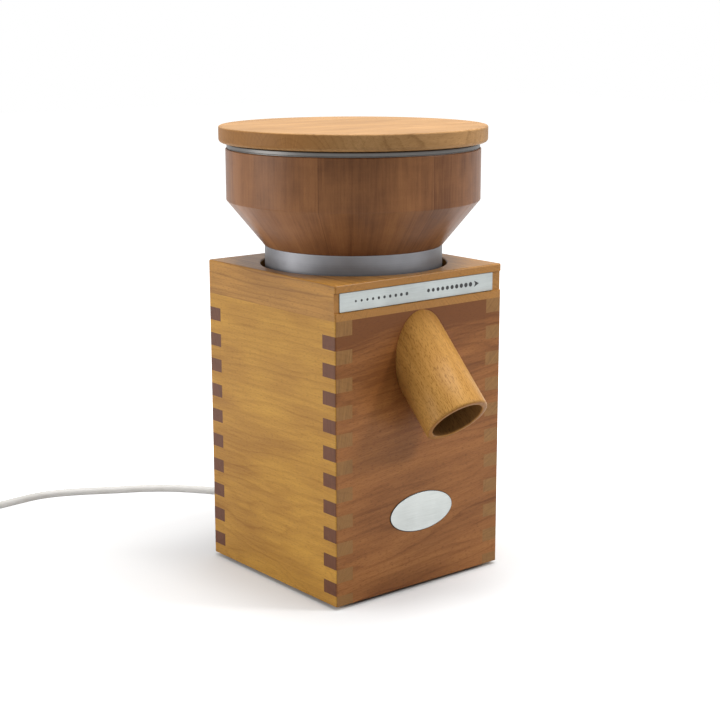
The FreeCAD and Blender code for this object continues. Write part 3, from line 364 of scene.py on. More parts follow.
@dataclass(frozen=True)
class StaveBeech(Beech):
    """Oiled beech glued up from upright staves and then turned, so each stave has its own grain.

    The piece's UV map gives the way round it and its height, in metres.

    Attributes:
        stave_mm: Width of a stave on the outside.
        glue_mm: Width of the glue line between two staves.
        first_tone: Depth of colour of the first stave.
        tone_step: What the depth of colour grows by from a stave to the next, back to 0 after 1.
    """

    stave_mm: float = 91.55
    glue_mm: float = 0.6
    first_tone: float = 0.5
    tone_step: float = 0.26

    def grain_space(self, tree: Tree) -> tuple[Socket, Socket]:
        """Moves each stave's pattern to another place in the log, by its number.

        Args:
            tree: The material's tree.

        Returns:
            The place in millimetres, and 0 because no end grain shows.
        """
        across, number, height = self.stave(tree)
        other = add_node(tree, "TexWhiteNoise", {"W": number}, noise_dimensions="1D")
        moved = add_node(tree, "VectorMath", {0: other.outputs["Color"], 1: (60.0, 60.0, 900.0)},
                         operation="MULTIPLY")
        local = add_node(tree, "CombineXYZ", {0: across, 1: self.pith_mm[1], 2: height})
        place = add_node(tree, "VectorMath", {0: local, 1: moved}, operation="ADD")
        none = add_node(tree, "Value")
        none.outputs[0].default_value = 0.0
        return place.outputs[0], none.outputs[0]

    def stave(self, tree: Tree) -> tuple[Socket, ...]:
        """Finds the stave at a point.

        Args:
            tree: The material's tree.

        Returns:
            Place across the stave in millimetres, the stave's number, and the height in millimetres.
        """
        source = add_node(tree, "TexCoord")
        parts = add_node(tree, "SeparateXYZ", {0: source.outputs["UV"]})
        around = add_node(tree, "Math", {0: parts.outputs[0], 1: 1 / (MM * self.stave_mm)},
                          operation="MULTIPLY")
        number = add_node(tree, "Math", {0: around}, operation="FLOOR")
        inside = add_node(tree, "Math", {0: around}, operation="FRACT")
        across = add_node(tree, "Math", {0: inside, 1: self.stave_mm}, operation="MULTIPLY")
        height = add_node(tree, "Math", {0: parts.outputs[1], 1: 1 / MM}, operation="MULTIPLY")
        return across.outputs[0], number.outputs[0], height.outputs[0]

    def tone(self, tree: Tree, distance: Socket) -> Socket:
        """Gives each stave its own depth of colour, with a dark glue line and marks of the lathe.

        Args:
            tree: The material's tree.
            distance: Distance from the pith, which staves don't use.

        Returns:
            Socket of the tone, about 0 in the mean.
        """
        across, number, height = self.stave(tree)
        step = add_node(tree, "Math", {0: number, 1: self.tone_step, 2: self.first_tone},
                        operation="MULTIPLY_ADD")
        own = add_node(tree, "Math", {0: step}, operation="FRACT").outputs[0]
        edge = add_node(tree, "Math", {0: across, 1: 0.0, 2: self.glue_mm}, operation="COMPARE").outputs[0]
        turned = add_node(tree, "CombineXYZ", {0: across, 2: height}).outputs[0]
        marks = self.grain_noise(tree, turned, 45, 0.8, 2.0)
        cloud = self.grain_noise(tree, turned, 20, 14, 2.0)
        total = self.blend_sum(tree, ((own, 0.9), (edge, 0.35), (marks, 0.3), (cloud, 1.1)))
        return add_node(tree, "Math", {0: total, 1: 1.1}, operation="SUBTRACT").outputs[0]


@dataclass(frozen=True)
class Metal(Finish):
    """A bare or plated metal, with fine marks that tell how it was made.

    Attributes:
        colour: Reflected colour.
        surface: How it was finished.
        mark_mm: Spacing of the marks.
        depth_mm: Depth of the marks.
    """

    colour: str
    surface: MetalSurface
    mark_mm: float = 0.5
    depth_mm: float = 0.01

    def draw(self, tree: Tree, shader: bpy.types.Node) -> None:
        """Turned marks run round Z, rolled ones along X, and a cast skin is a fine even pebble."""
        shader.inputs["Metallic"].default_value = 1.0
        source = add_node(tree, "TexCoord").outputs["Object"]
        fine = 1 / (self.mark_mm * MM)
        if self.surface is MetalSurface.TURNED:
            parts = add_node(tree, "SeparateXYZ", {0: source})
            flat = add_node(tree, "CombineXYZ", {0: parts.outputs[0], 1: parts.outputs[1]})
            radius = add_node(tree, "VectorMath", {0: flat}, operation="LENGTH")
            where = add_node(tree, "CombineXYZ", {0: radius.outputs["Value"], 2: parts.outputs[2]}).outputs[0]
            stretch = (fine, 1.0, fine)
        elif self.surface is MetalSurface.ROLLED:
            where = source
            stretch = (fine / 60, fine, fine)
        else:
            where = source
            stretch = (fine, fine, fine)
        scaled = add_node(tree, "Mapping", {"Vector": where, "Scale": stretch})
        marks = add_node(tree, "TexNoise", {"Vector": scaled, "Scale": 1.0, "Detail": 2.0})
        smear = add_node(tree, "TexNoise", {"Vector": source, "Scale": 45.0, "Detail": 3.0})
        tone = add_node(tree, "Math", {0: marks, 1: smear}, operation="ADD")
        shade = add_node(tree, "MapRange", {0: tone.outputs[0], 1: 0.7, 2: 1.3, 3: 0.82, 4: 1.06})
        colour = add_node(tree, "VectorMath", {0: linear(self.colour)[:3], "Scale": shade},
                          operation="SCALE")
        self.finish_surface(tree, shader, colour.outputs[0], marks.outputs[0], self.depth_mm,
                            (self.roughness - 0.07, self.roughness + 0.07))


@dataclass(frozen=True)
class Moulded(Finish):
    """Moulded plastic or rubber: one colour through and through, with a spark-eroded grain.

    Attributes:
        colour: Its colour.
        worn: Colour of the dusty or rubbed places.
        grain_mm: Size of the moulded grain.
        depth_mm: Depth of that grain.
    """

    colour: str
    worn: str
    grain_mm: float = 0.7
    depth_mm: float = 0.02

    def draw(self, tree: Tree, shader: bpy.types.Node) -> None:
        """Fine round grain in the relief, and broad faint patches of the worn colour."""
        source = add_node(tree, "TexCoord").outputs["Object"]
        grain = add_node(tree, "TexVoronoi", {"Vector": source, "Scale": 1 / (self.grain_mm * MM)})
        patch = add_node(tree, "TexNoise", {"Vector": source, "Scale": 60.0, "Detail": 5.0})
        amount = add_node(tree, "MapRange", {0: patch, 1: 0.45, 2: 0.75, 3: 0.0, 4: 0.6})
        colour = add_node(tree, "Mix", {0: amount, 6: linear(self.colour),
                                        7: linear(self.worn)}, data_type="RGBA")
        self.finish_surface(tree, shader, colour.outputs[2], grain.outputs[0], self.depth_mm,
                            (self.roughness - 0.05, self.roughness + 0.08))


@dataclass(frozen=True)
class Corundum(Finish):
    """Bonded corundum of a millstone: pale grit of about a millimetre, sharp and matt.

    Attributes:
        bond: Colour of the bond between the grains.
        grit: Colour of the grains.
        grit_mm: Size of a grain.
        stand_mm: How far a grain stands out of the bond.
    """

    bond: str
    grit: str
    grit_mm: float = 1.1
    stand_mm: float = 0.3

    def draw(self, tree: Tree, shader: bpy.types.Node) -> None:
        """Voronoi cells as grains, each with its own tone, standing out of the bond."""
        source = add_node(tree, "TexCoord").outputs["Object"]
        cells = add_node(tree, "TexVoronoi", {"Vector": source, "Scale": 1 / (self.grit_mm * MM)})
        tone = add_node(tree, "SeparateXYZ", {0: cells.outputs["Color"]})
        colour = add_node(tree, "Mix", {0: tone.outputs[0], 6: linear(self.bond), 7: linear(self.grit)},
                          data_type="RGBA")
        height = add_node(tree, "Math", {0: 1.0, 1: cells.outputs["Distance"]}, operation="SUBTRACT")
        self.finish_surface(tree, shader, colour.outputs[2], height.outputs[0], self.stand_mm,
                            (self.roughness - 0.1, self.roughness + 0.05))


@dataclass(frozen=True)
class Banded(Finish):
    """Sheets or wires that lie side by side and show as fine bands, as in a motor.

    Attributes:
        crest: Colour on top of a band.
        valley: Colour between two bands.
        band_mm: Width of a band.
        upright: True for bands stacked along Z, False for bands round the Z axis.
        metallic: 1 for bare metal, 0 for lacquer.
    """

    crest: str
    valley: str
    band_mm: float
    upright: bool
    metallic: float

    def draw(self, tree: Tree, shader: bpy.types.Node) -> None:
        """A sine wave along Z, or along the distance to the Z axis, with a little wander."""
        shader.inputs["Metallic"].default_value = self.metallic
        source = add_node(tree, "TexCoord").outputs["Object"]
        bands = add_node(tree, "TexWave", {"Vector": source, "Scale": 0.314 / (self.band_mm * MM),
                                           "Distortion": 0.0 if self.upright else 1.5,
                                           "Detail": 1.0, "Detail Scale": 0.3},
                         wave_type="BANDS" if self.upright else "RINGS",
                         bands_direction="Z", rings_direction="Z")
        colour = add_node(tree, "Mix", {0: bands.outputs["Fac"], 6: linear(self.valley),
                                        7: linear(self.crest)}, data_type="RGBA")
        self.finish_surface(tree, shader, colour.outputs[2], bands.outputs["Fac"], 0.1,
                            (self.roughness, self.roughness + 0.1))


# Steamed beech, oiled: warm honey boards with a satin sheen.
SIDE_BOARD = Beech("steamed beech side board", 0.45, "#cb983b", "#976521", "#724914", "#8d6538",
                   Axis.ALONG_Y.value, (96.0, 14.0, 0.0), wander_mm=44.0, ring_mm=5.6, ring_weight=0.26,
                   fleck_weight=0.35, mottle_weight=0.6, ribbon_weight=0.6)
TOP_BOARD = Beech("steamed beech top board", 0.45, "#c08a3b", "#87591e", "#72491a", "#a5743a",
                  Axis.ALONG_Y.value, (30.0, 290.0, 0.0), ring_mm=3.4, wander_mm=8.0, ring_weight=0.5,
                  fleck_weight=0.4, ribbon_weight=0.7, polish=0.06)
# The same wood from the core of the log: browner, with darker end grain in the fingers. Its darkening towards
# the top is painted shade.
FRONT_BOARD = Beech("beech heartwood board", 0.45, "#ad723d", "#74441d", "#5d3415", "#613821",
                    (0.0, -84.0, 0.0), (-150.0, 100.0, 0.0), ring_mm=9.0, wander_mm=38.0, ring_weight=0.3,
                    fleck_weight=0.5, mottle_weight=0.45, ribbon_weight=0.5, painted_shade_mm=(240.0, 375.0),
                    tone_and_shade_weight=0.5)
REAR_BOARD = Beech("beech heartwood rear board", 0.45, "#ab7547", "#774a27", "#5f371c", "#613821",
                   (0.0, -87.0, 0.0), (-60.0, 40.0, 0.0), ring_mm=8.0, wander_mm=34.0, ring_weight=0.34,
                   fleck_weight=0.5, mottle_weight=0.45)
# Staves glued and turned: reddish brown with soft upright streaks.
BOWL_STAVES = StaveBeech("turned beech staves", 0.42, "#976742", "#64402a", "#5c3a26", "#6b4534",
                         Axis.ALONG_Z.value, (0.0, 85.0, 0.0), ring_mm=6.0, wander_mm=10.0,
                         ring_weight=0.15, fleck_weight=0.15, ribbon_weight=0.3, tone_and_shade_weight=0.45, sheen=0.14)
# A lid turned from one pale board.
LID_BOARD = Beech("turned beech lid", 0.56, "#ba8f5e", "#8e6a42", "#6f4a28", "#96693a",
                  Axis.ALONG_X.value, (330.0, 45.0, 0.0), ring_mm=4.0, wander_mm=14.0, ring_weight=0.35,
                  fleck_weight=0.3, sheen=0.1, polish=0.03)
# A tube bored and turned from one billet, with its grain along the tube.
SPOUT_BILLET = Beech("turned beech tube", 0.42, "#cb9a54", "#a37336", "#6a3f18", "#9a6930",
                     (44.5, 0.0, 0.0), (190.0, 152.0, 0.0), ring_mm=5.0, wander_mm=5.0, ring_weight=0.2,
                     fleck_weight=0.5, fleck_mm=(0.65, 3.2), fleck_from=0.52, sheen=0.1)
# The bored inside of that tube, left raw, its colour darkened as painted shade inside the bore.
SPOUT_BORE_SHADE = Beech("bored beech with painted shade", 0.75, "#946a3a", "#6f4b24", "#4a2c12", "#6a4520",
                   (44.5, 0.0, 0.0), (190.0, 152.0, 0.0), ring_mm=5.0, wander_mm=5.0, ring_weight=0.2,
                   sheen=0.1)
# Birch plywood: paler and greyer, unpolished.
PLYWOOD = Beech("birch plywood", 0.6, "#c9a979", "#a98a5c", "#8a6f49", "#8f744c",
                Axis.ALONG_X.value, (0.0, 160.0, 0.0), ring_mm=5.0)

# Aluminium: turned pieces show faint rings round their axis, castings a fine pebble, and sheets
# that were rolled a brushed line along X.
SATIN_ALUMINIUM = Metal("turned satin aluminium", 0.5, "#767679", MetalSurface.TURNED, 0.45, 0.006)
# The rim ring takes a darker copy of turned aluminium: its darker grey is painted shade under the lid's
# overhang, not a duller finish.
RING_ALUMINIUM_SHADED = Metal("turned aluminium with painted shade", 0.42, "#656361", MetalSurface.TURNED, 0.45, 0.006)
CAST_ALUMINIUM = Metal("die-cast aluminium", 0.48, "#a6a7a8", MetalSurface.CAST, 0.9, 0.03)
LACQUERED_SHEET = Metal("lacquered aluminium sheet", 0.5, "#bcc0be", MetalSurface.ROLLED, 0.35, 0.003)
# The strip takes a darker copy of the oval's sheet: the difference is painted shade, not another finish.
STRIP_SHEET_SHADED = Metal("aluminium strip with painted shade", 0.55, "#a6abaa", MetalSurface.ROLLED, 0.35, 0.003)

# Steel: ground and drawn pieces are bright and sharp, and zinc plate is paler and softer.
GROUND_STEEL = Metal("ground shaft steel", 0.28, "#b4b4b6", MetalSurface.TURNED, 0.4, 0.003)
ZINC_STEEL = Metal("zinc-plated steel", 0.36, "#b8b8b4", MetalSurface.CAST, 0.5, 0.004)
SPRING_STEEL = Metal("drawn spring steel", 0.35, "#8e8d8b", MetalSurface.CAST, 0.4, 0.004)
BEARING_STEEL = Metal("polished bearing steel", 0.22, "#c2c2c4", MetalSurface.TURNED, 0.6, 0.002)

# Nickel plate over brass: bright, with a warm tinge.
NICKEL_PINS = Metal("nickel-plated brass", 0.25, "#c4beb2", MetalSurface.CAST, 0.8, 0.002)

# Rubber is dull and dusty, glass-filled nylon satin, and only the rocker is glossy.
BLACK_RUBBER = Moulded("black rubber", 0.75, "#1b1a19", "#2b2927", 0.5, 0.03)
BLACK_NYLON = Moulded("black glass-filled nylon", 0.5, "#161616", "#232323")
GLOSS_ROCKER = Moulded("gloss black polycarbonate", 0.22, "#101010", "#181818", 1.5, 0.004)
WHITE_NYLON = Moulded("natural white nylon", 0.5, "#dcd8cc", "#cfc9b8")
# Soft PVC and rubber of the lead: pale grey, a little matt from the mould.
GREY_SHEATH = Moulded("light grey cord sheath", 0.5, "#cfcdc9", "#bdbab4", 0.8, 0.01)
GREY_PLUG = Moulded("light grey plug rubber", 0.55, "#cbc9c4", "#b9b6b0", 0.8, 0.02)
LEAD_SHEATH = Moulded("brown lead insulation", 0.45, "#6a3c20", "#573019", 0.8, 0.01)
CAPACITOR_CAN = Moulded("white capacitor can", 0.35, "#d8d7d2", "#c9c7c0", 1.2, 0.01)
# Screen-printed ink: flat and even.
BLACK_INK = Moulded("black printing ink", 0.5, "#121315", "#1a1b1d", 0.4, 0.002)
WHITE_INK = Moulded("white printing ink", 0.5, "#e6e6e4", "#dadad6", 0.4, 0.002)

# Inside the mill: sharp pale grit, stacked sheets in fine lines, and lacquered copper wire.
MILLSTONE = Corundum("bonded corundum", 0.9, "#b9b1a0", "#ece8de")
STACKED_SHEET = Banded("stacked motor sheet", 0.5, "#7d7e80", "#2c2c2e", 1.0, True, 1.0)
COPPER_COIL = Banded("enamelled copper wire", 0.3, "#c0703a", "#5c2c12", 1.2, False, 0.6)


def arc_corners(corners: np.ndarray, radii: Sequence[float], closed: bool, steps: int = 6) -> np.ndarray:
    """Rounds the corners of an outline with arcs, and adds a point near each arc's ends.

    Each arc touches both runs and is the circle of the given radius inside the corner: its centre
    lies on the bisector, at the radius divided by the sine of half the angle.

    Args:
        corners: Corner points, one per row.
        radii: Radius at each corner, 0 for a sharp one.
        closed: True if the outline closes on itself.
        steps: Pieces that each arc is divided in.

    Returns:
        The rounded outline.
    """
    rows = []
    count = len(corners)
    for number, (corner, radius) in enumerate(zip(corners, radii)):
        if radius <= 0 or (not closed and number in (0, count - 1)):
            rows.append(corner[None])
            continue
        back = corners[number - 1] - corner
        ahead = corners[(number + 1) % count] - corner
        run = min(np.linalg.norm(back), np.linalg.norm(ahead))
        back = back / np.linalg.norm(back)
        ahead = ahead / np.linalg.norm(ahead)
        half = math.acos(float(np.clip(back @ ahead, -1, 1))) / 2
        reach = radius / math.tan(half)
        start = corner + back * reach
        end = corner + ahead * reach
        middle = (back + ahead) / np.linalg.norm(back + ahead)
        centre = corner + middle * radius / math.sin(half)
        sweep = np.linspace(0, 1, steps + 1)[:, None]
        chord = (start - centre) * (1 - sweep) + (end - centre) * sweep
        arc = centre + radius * chord / np.linalg.norm(chord, axis=1)[:, None]
        support = min(0.3 * radius, 0.2 * max(run - reach, 0.0))
        rows += [(start + back * support)[None], arc, (end + ahead * support)[None]]
    return np.concatenate(rows)


def loft(rings: np.ndarray, closed: bool) -> tuple[np.ndarray, list[list[int]], np.ndarray]:
    """Joins rings of points into a closed surface.

    A point is ring number and place round the ring. Each face joins four neighbours. If the rings
    don't close on themselves, the first and the last are capped by one flat face each.

    Args:
        rings: Array of ring, place and coordinate.
        closed: True if the last ring joins the first.

    Returns:
        Points, faces, and each face's ring and place as whole numbers, which its UV map needs.
    """
    count, around = rings.shape[:2]
    ring, place = np.meshgrid(np.arange(count if closed else count - 1), np.arange(around), indexing="ij")
    ring, place = ring.ravel(), place.ravel()
    above, beside = (ring + 1) % count, (place + 1) % around
    quads = np.stack([ring * around + place, ring * around + beside,
                      above * around + beside, above * around + place], axis=1)
    faces = quads.tolist()
    if not closed:
        faces.append(np.arange(around)[::-1].tolist())
        faces.append(((count - 1) * around + np.arange(around)).tolist())
    return rings.reshape(-1, 3), faces, np.stack([ring, place], axis=1)


def mesh_piece(name: str, points: np.ndarray, faces: list[list[int]], smooth: bool = True) -> Piece:
    """Makes an object from points in millimetres.

    Args:
        name: The piece's name.
        points: Points in millimetres, in the frame.
        faces: Each face's point numbers.
        smooth: False for a piece with flat faces and sharp edges.

    Returns:
        The object, at the origin, with its normals outwards.
    """
    mesh = bpy.data.meshes.new(name)
    mesh.from_pydata((points * MM).tolist(), [], faces)
    mesh.polygons.foreach_set("use_smooth", np.full(len(mesh.polygons), smooth))
    mesh.update()
    piece = bpy.data.objects.new(name, mesh)
    bpy.context.scene.collection.objects.link(piece)
    return piece


def revolve(name: str, profile: np.ndarray, closed: bool, around: int = 256,
            place: Matrix | None = None, start: float = 0.0) -> Piece:
    """Turns a profile of radius and height round an axis.

    The point at profile step i and angle a is (r cos a, r sin a, h), moved by the place. The UV map
    gives the angle times the largest radius, and the length along the profile, in metres.

    Args:
        name: The piece's name.
        profile: Rows of radius and height in millimetres, anticlockwise seen with the axis at the left.
        closed: True if the profile closes on itself, False if it ends in two flat caps.
        around: Points round the axis.
        place: Turn and shift in millimetres, or None for the Z axis itself.
        start: Angle of the first point, in degrees.

    Returns:
        The turned piece.
    """
    angle = np.radians(start) + np.linspace(0, 2 * np.pi, around, endpoint=False)
    radius, height = profile[:, 0, None], profile[:, 1, None]
    rings = np.stack([radius * np.cos(angle), radius * np.sin(angle),
                      height + 0 * angle], axis=2)
    if place is not None:
        turn = np.array(place)
        rings = rings @ turn[:3, :3].T + turn[:3, 3]
    points, faces, cells = loft(rings, closed)
    piece = mesh_piece(name, points, faces)
    widest = profile[:, 0].max() * MM
    length = np.concatenate([[0], np.cumsum(np.linalg.norm(np.diff(profile, axis=0), axis=1))])
    length = np.append(length, length[-1] + np.linalg.norm(profile[0] - profile[-1])) * MM
    ring, turn_step = cells[:, 0], cells[:, 1]
    step = 2 * np.pi / around * widest
    corners_u = np.stack([turn_step, turn_step + 1, turn_step + 1, turn_step], axis=1) * step
    corners_v = length[np.stack([ring, ring, ring + 1, ring + 1], axis=1)]
    values = np.zeros((len(piece.data.loops), 2))
    values[:corners_u.size] = np.stack([corners_u.ravel(), corners_v.ravel()], axis=1)
    layer = piece.data.uv_layers.new(name="round and along")
    layer.data.foreach_set("uv", values.ravel())
    return piece


def plate(outline: np.ndarray, insets: Sequence[tuple[float, float]]) -> np.ndarray:
    """Rings of a flat plate with shaped edges.

    Each ring is the outline moved inwards along its own normal by an inset, at a height. The normal
    at a point is the direction between its neighbours, turned by a quarter.

    Args:
        outline: Rows of x and z in millimetres, anticlockwise.
        insets: Inset and height of each ring, from the back to the front.

    Returns:
        The rings with x, height and z, facing -Y with the height.
    """
    way = np.roll(outline, -1, axis=0) - np.roll(outline, 1, axis=0)
    inwards = np.stack([-way[:, 1], way[:, 0]], axis=1) / np.linalg.norm(way, axis=1)[:, None]
    rings = []
    for inset, height in insets:
        moved = outline + inset * inwards
        rings.append(np.stack([moved[:, 0], np.full(len(moved), -height), moved[:, 1]], axis=1))
    return np.stack(rings)


def dress(finish: Finish, *nodes: str) -> None:
    """Gives a finish to CAD nodes, in the slots that they already have.

    Args:
        finish: The finish.
        nodes: Names of the nodes.
    """
    for node in nodes:
        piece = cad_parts[node]
        if not piece.material_slots:
            piece.data.materials.append(None)
        for place in piece.material_slots:
            place.material = finish.material()
        log.info("node %s takes %s", node, finish.name)


def settle(piece: Piece, finish: Finish, body: str, slot: str, *nodes: str) -> Piece:
    """Gives a new piece its finish and body, and hides the CAD nodes that it stands for.

    Args:
        piece: The new piece, in place.
        finish: Its finish.
        body: The body that it rides on.
        slot: The record's material slot; not used.
        nodes: CAD nodes that it replaces.

    Returns:
        The piece.
    """
    piece.data.materials.append(finish.material())
    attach(piece, body)
    if nodes:
        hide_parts(*nodes)
    log.info("piece %s on %s", piece.name, body)
    return piece


@dataclass
class Case:
    """The finger-jointed case with its block, base, cleats and feet."""

    def build(self) -> None:
        """Dresses the boards: side boards and block pale, front and rear dark."""
        dress(SIDE_BOARD, "left_panel", "right_panel", "corner_cleats")
        dress(FRONT_BOARD, "front_panel")
        dress(REAR_BOARD, "rear_panel")
        dress(TOP_BOARD, "top_block")
        dress(PLYWOOD, "base_plate")
        dress(BLACK_RUBBER, "rubber_feet")
        dress(ZINC_STEEL, "foot_screws")


@dataclass
class FrontPlates:
    """The printed scale strip in the block's groove and the bare oval plate below the spout.

    Attributes:
        strip_edge: Bevel of the strip's edge, mm.
        small_from: Place of the first small dot along X, mm.
        small_to: Place of the last small dot.
        large_from: Place of the first large dot.
        large_to: Place of the last large dot.
        smallest: Radius of the first dot.
        largest: Radius of the last dot.
        dots: Dots in each run.
        arrow_place: Place of the arrowhead's middle.
        arrow_size: Its half length.
        ink: Thickness of the ink as drawn, mm, thicker than real so that it shows.
        oval_edge: Width of the oval's turned-down dark edge.
        oval_border: Width of its raised border.
    """

    strip_edge: float = 0.25
    small_from: float = -64.7
    small_to: float = -14.3
    large_from: float = 7.8
    large_to: float = 52.3
    smallest: float = 0.95
    largest: float = 1.85
    dots: int = 10
    arrow_place: float = 58.4
    arrow_size: float = 3.0
    ink: float = 0.03
    oval_edge: float = 0.45
    oval_border: float = 1.4

    def build(self) -> None:
        """Makes the strip, its marks, and the oval."""
        self.strip()
        self.marks()
        self.oval()

    def strip(self) -> None:
        """A flat sheet with a small bevel round its printed face."""
        low, high = (np.array(corner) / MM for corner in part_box("scale_strip"))
        corners = np.array([[low[0], low[2]], [high[0], low[2]], [high[0], high[2]], [low[0], high[2]]])
        outline = arc_corners(corners, [0.6] * 4, True, 5)
        rings = plate(outline, [(0, -high[1]), (0, -low[1] - self.strip_edge),
                                (self.strip_edge / 2, -low[1] - 0.06), (self.strip_edge, -low[1])])
        points, faces, _ = loft(rings, False)
        piece = mesh_piece("printed_scale_strip", points, faces)
        # The strip's sheet is the darker copy, with painted shade.
        settle(piece, STRIP_SHEET_SHADED, "root", "strip_metal", "scale_strip")

    def marks(self) -> None:
        """Dots that grow to the right in two runs, and an arrowhead, in black ink."""
        low, high = (np.array(corner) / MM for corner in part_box("scale_strip"))
        middle = (low[2] + high[2]) / 2
        turn = np.linspace(0, 2 * np.pi, 24, endpoint=False)
        places = np.concatenate([np.linspace(self.small_from, self.small_to, self.dots),
                                 np.linspace(self.large_from, self.large_to, self.dots)])
        sizes = np.linspace(self.smallest, self.largest, len(places))
        outlines = [np.stack([place + size * np.cos(turn), middle + size * np.sin(turn)], axis=1)
                    for place, size in zip(places, sizes)]
        size = self.arrow_size
        head = np.array([[-0.75 * size, -0.85 * size], [size, 0.0], [-0.75 * size, 0.85 * size],
                         [-0.35 * size, 0.0]]) + [self.arrow_place, middle]
        outlines.append(head)
        points, faces, used = [], [], 0
        for outline in outlines:
            cap_points, cap_faces, _ = loft(plate(outline, [(0, -low[1]), (0, -low[1] + self.ink)]), False)
            points.append(cap_points)
            faces += [[number + used for number in face] for face in cap_faces]
            used += len(cap_points)
        piece = mesh_piece("scale_dots", np.concatenate(points), faces, smooth=False)
        settle(piece, BLACK_INK, "root", "strip_metal")

    def oval(self) -> None:
        """An elliptical sheet with a soft raised border and a dark cut edge, left bare."""
        low, high = (np.array(corner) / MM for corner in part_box("oval_plate"))
        centre, half = (low + high) / 2, (high - low) / 2
        turn = np.linspace(0, 2 * np.pi, 192, endpoint=False)
        outline = np.stack([centre[0] + half[0] * np.cos(turn), centre[2] + half[2] * np.sin(turn)], axis=1)
        back, front = -high[1], -low[1]
        edge, border = self.oval_edge, self.oval_border
        face = plate(outline, [(edge, back + 0.2), (edge, front - 0.12), (edge + 0.12, front - 0.02),
                               (edge + 0.35, front), (border - 0.3, front), (border, front - 0.1),
                               (border + 0.4, front - 0.14)])
        points, faces, _ = loft(face, False)
        settle(mesh_piece("oval_face", points, faces), LACQUERED_SHEET, "root", "strip_metal", "oval_plate")
        rim = plate(outline, [(0, back), (0, front - 0.35), (0.15, front - 0.2), (edge + 0.1, front - 0.18)])
        points, faces, _ = loft(rim, False)
        settle(mesh_piece("oval_dark_edge", points, faces), BLACK_INK, "root", "strip_metal")


@dataclass
class Spout:
    """The flour spout, a turned tube that slants out of the front panel.

    Attributes:
        slope: Its fall, in degrees from level.
        outer: Outer radius, mm.
        bore: Inner radius.
        reach: Length of its axis outside the panel.
        below_block: Gap between its top line and the block.
        rim_outer: Rounding of the outer edge of its mouth.
        rim_inner: Rounding of the inner edge.
    """

    slope: float = 45.5
    outer: float = 26.3
    bore: float = 21.0
    reach: float = 60.4
    below_block: float = 0.3
    rim_outer: float = 1.9
    rim_inner: float = 1.3

    def build(self) -> None:
        """Turns the tube's wall about its slanting axis."""
        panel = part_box("front_panel")[0].y / MM
        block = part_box("top_block")[0].z / MM
        fall = math.radians(self.slope)
        start = Vector((0, panel, block - self.below_block - self.outer / math.cos(fall)))
        way = Vector((0, -math.cos(fall), -math.sin(fall)))
        place = Matrix.Translation(start) @ way.to_track_quat("Z", "X").to_matrix().to_4x4()
        inner_end = -self.outer * math.tan(fall) - self.below_block
        corners = np.array([[self.outer, inner_end], [self.outer, self.reach], [self.bore, self.reach],
                            [self.bore, inner_end]])
        profile = arc_corners(corners, [0, self.rim_outer, self.rim_inner, 0], True)
        piece = revolve("flour_spout", profile, True, 192, place)
        settle(piece, SPOUT_BILLET, "root", "light_beech", "spout")
        # The faces of the bore take the darker wood: painted shade inside the tube.
        piece.data.materials.append(SPOUT_BORE_SHADE.material())
        centres = np.empty(3 * len(piece.data.polygons))
        piece.data.polygons.foreach_get("center", centres)
        from_start = centres.reshape(-1, 3) / MM - np.array(start)
        off_axis = np.linalg.norm(np.cross(from_start, np.array(way)), axis=1)
        piece.data.polygons.foreach_set("material_index", (off_axis < self.bore + 0.4).astype(np.int32))


@dataclass
class Hopper:
    """The turned bowl with its collar and rim ring, and the stone parts that turn with it.

    Attributes:
        foot: Radius of the bowl's foot, mm.
        widest: Radius of its upright wall.
        wall: Wall thickness.
        cone: Height of the cone.
        funnel: Height of the funnel inside.
        floor: Thickness of the bowl's floor.
        eye: Radius of the hole in the floor.
        first_joint: Angle of the first glue line, in degrees.
        ring_bead: Rounding of the rim ring's outer edges.
        ring_shadow: Depth of the small groove under the ring.
        edges: Rounding of each corner of the bowl's section, from the eye's lower edge outwards.
    """

    foot: float = 72.1
    widest: float = 102.0
    wall: float = 9.5
    cone: float = 36.6
    funnel: float = 36.0
    floor: float = 6.5
    eye: float = 34.0
    first_joint: float = -143.8
    ring_bead: float = 1.5
    ring_shadow: float = 0.6
    edges: tuple[float, ...] = (0.0, 1.6, 1.1, 0.9, 0.8, 6.0, 1.0)

    def build(self) -> None:
        """Turns bowl and ring, and dresses the rest."""
        low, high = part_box("bowl")
        seat, top = low.z / MM, high.z / MM
        inner = self.widest - self.wall
        corners = np.array([[self.eye, seat], [self.foot, seat], [self.widest, seat + self.cone],
                            [self.widest, top], [inner, top], [inner, seat + self.floor + self.funnel],
                            [self.eye, seat + self.floor]])
        profile = arc_corners(corners, self.edges, True)
        bowl = revolve("turned_bowl", profile, True, 320, start=self.first_joint)
        settle(bowl, BOWL_STAVES, "hopper", "bowl_beech", "bowl")
        low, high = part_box("rim_ring")
        base, top, outer = low.z / MM, high.z / MM, high.x / MM
        corners = np.array([[inner, base], [outer - self.ring_shadow, base],
                            [outer - self.ring_shadow, base + 0.7], [outer, base + 0.9],
                            [outer, top], [inner, top]])
        profile = arc_corners(corners, [0, 0.1, 0.1, 0.4, self.ring_bead, 0.5], True)
        ring = revolve("hopper_rim_ring", profile, True, 320)
        # The ring's darker metal colour is painted shade under the lid.
        settle(ring, RING_ALUMINIUM_SHADED, "hopper", "satin_aluminium", "rim_ring")
        dress(SATIN_ALUMINIUM, "collar", "feed_funnel")
        dress(CAST_ALUMINIUM, "upper_stone_holder")
        dress(MILLSTONE, "upper_stone")
        dress(ZINC_STEEL, "bowl_screws", "holder_screws")
        dress(BLACK_RUBBER, "thread_seal")


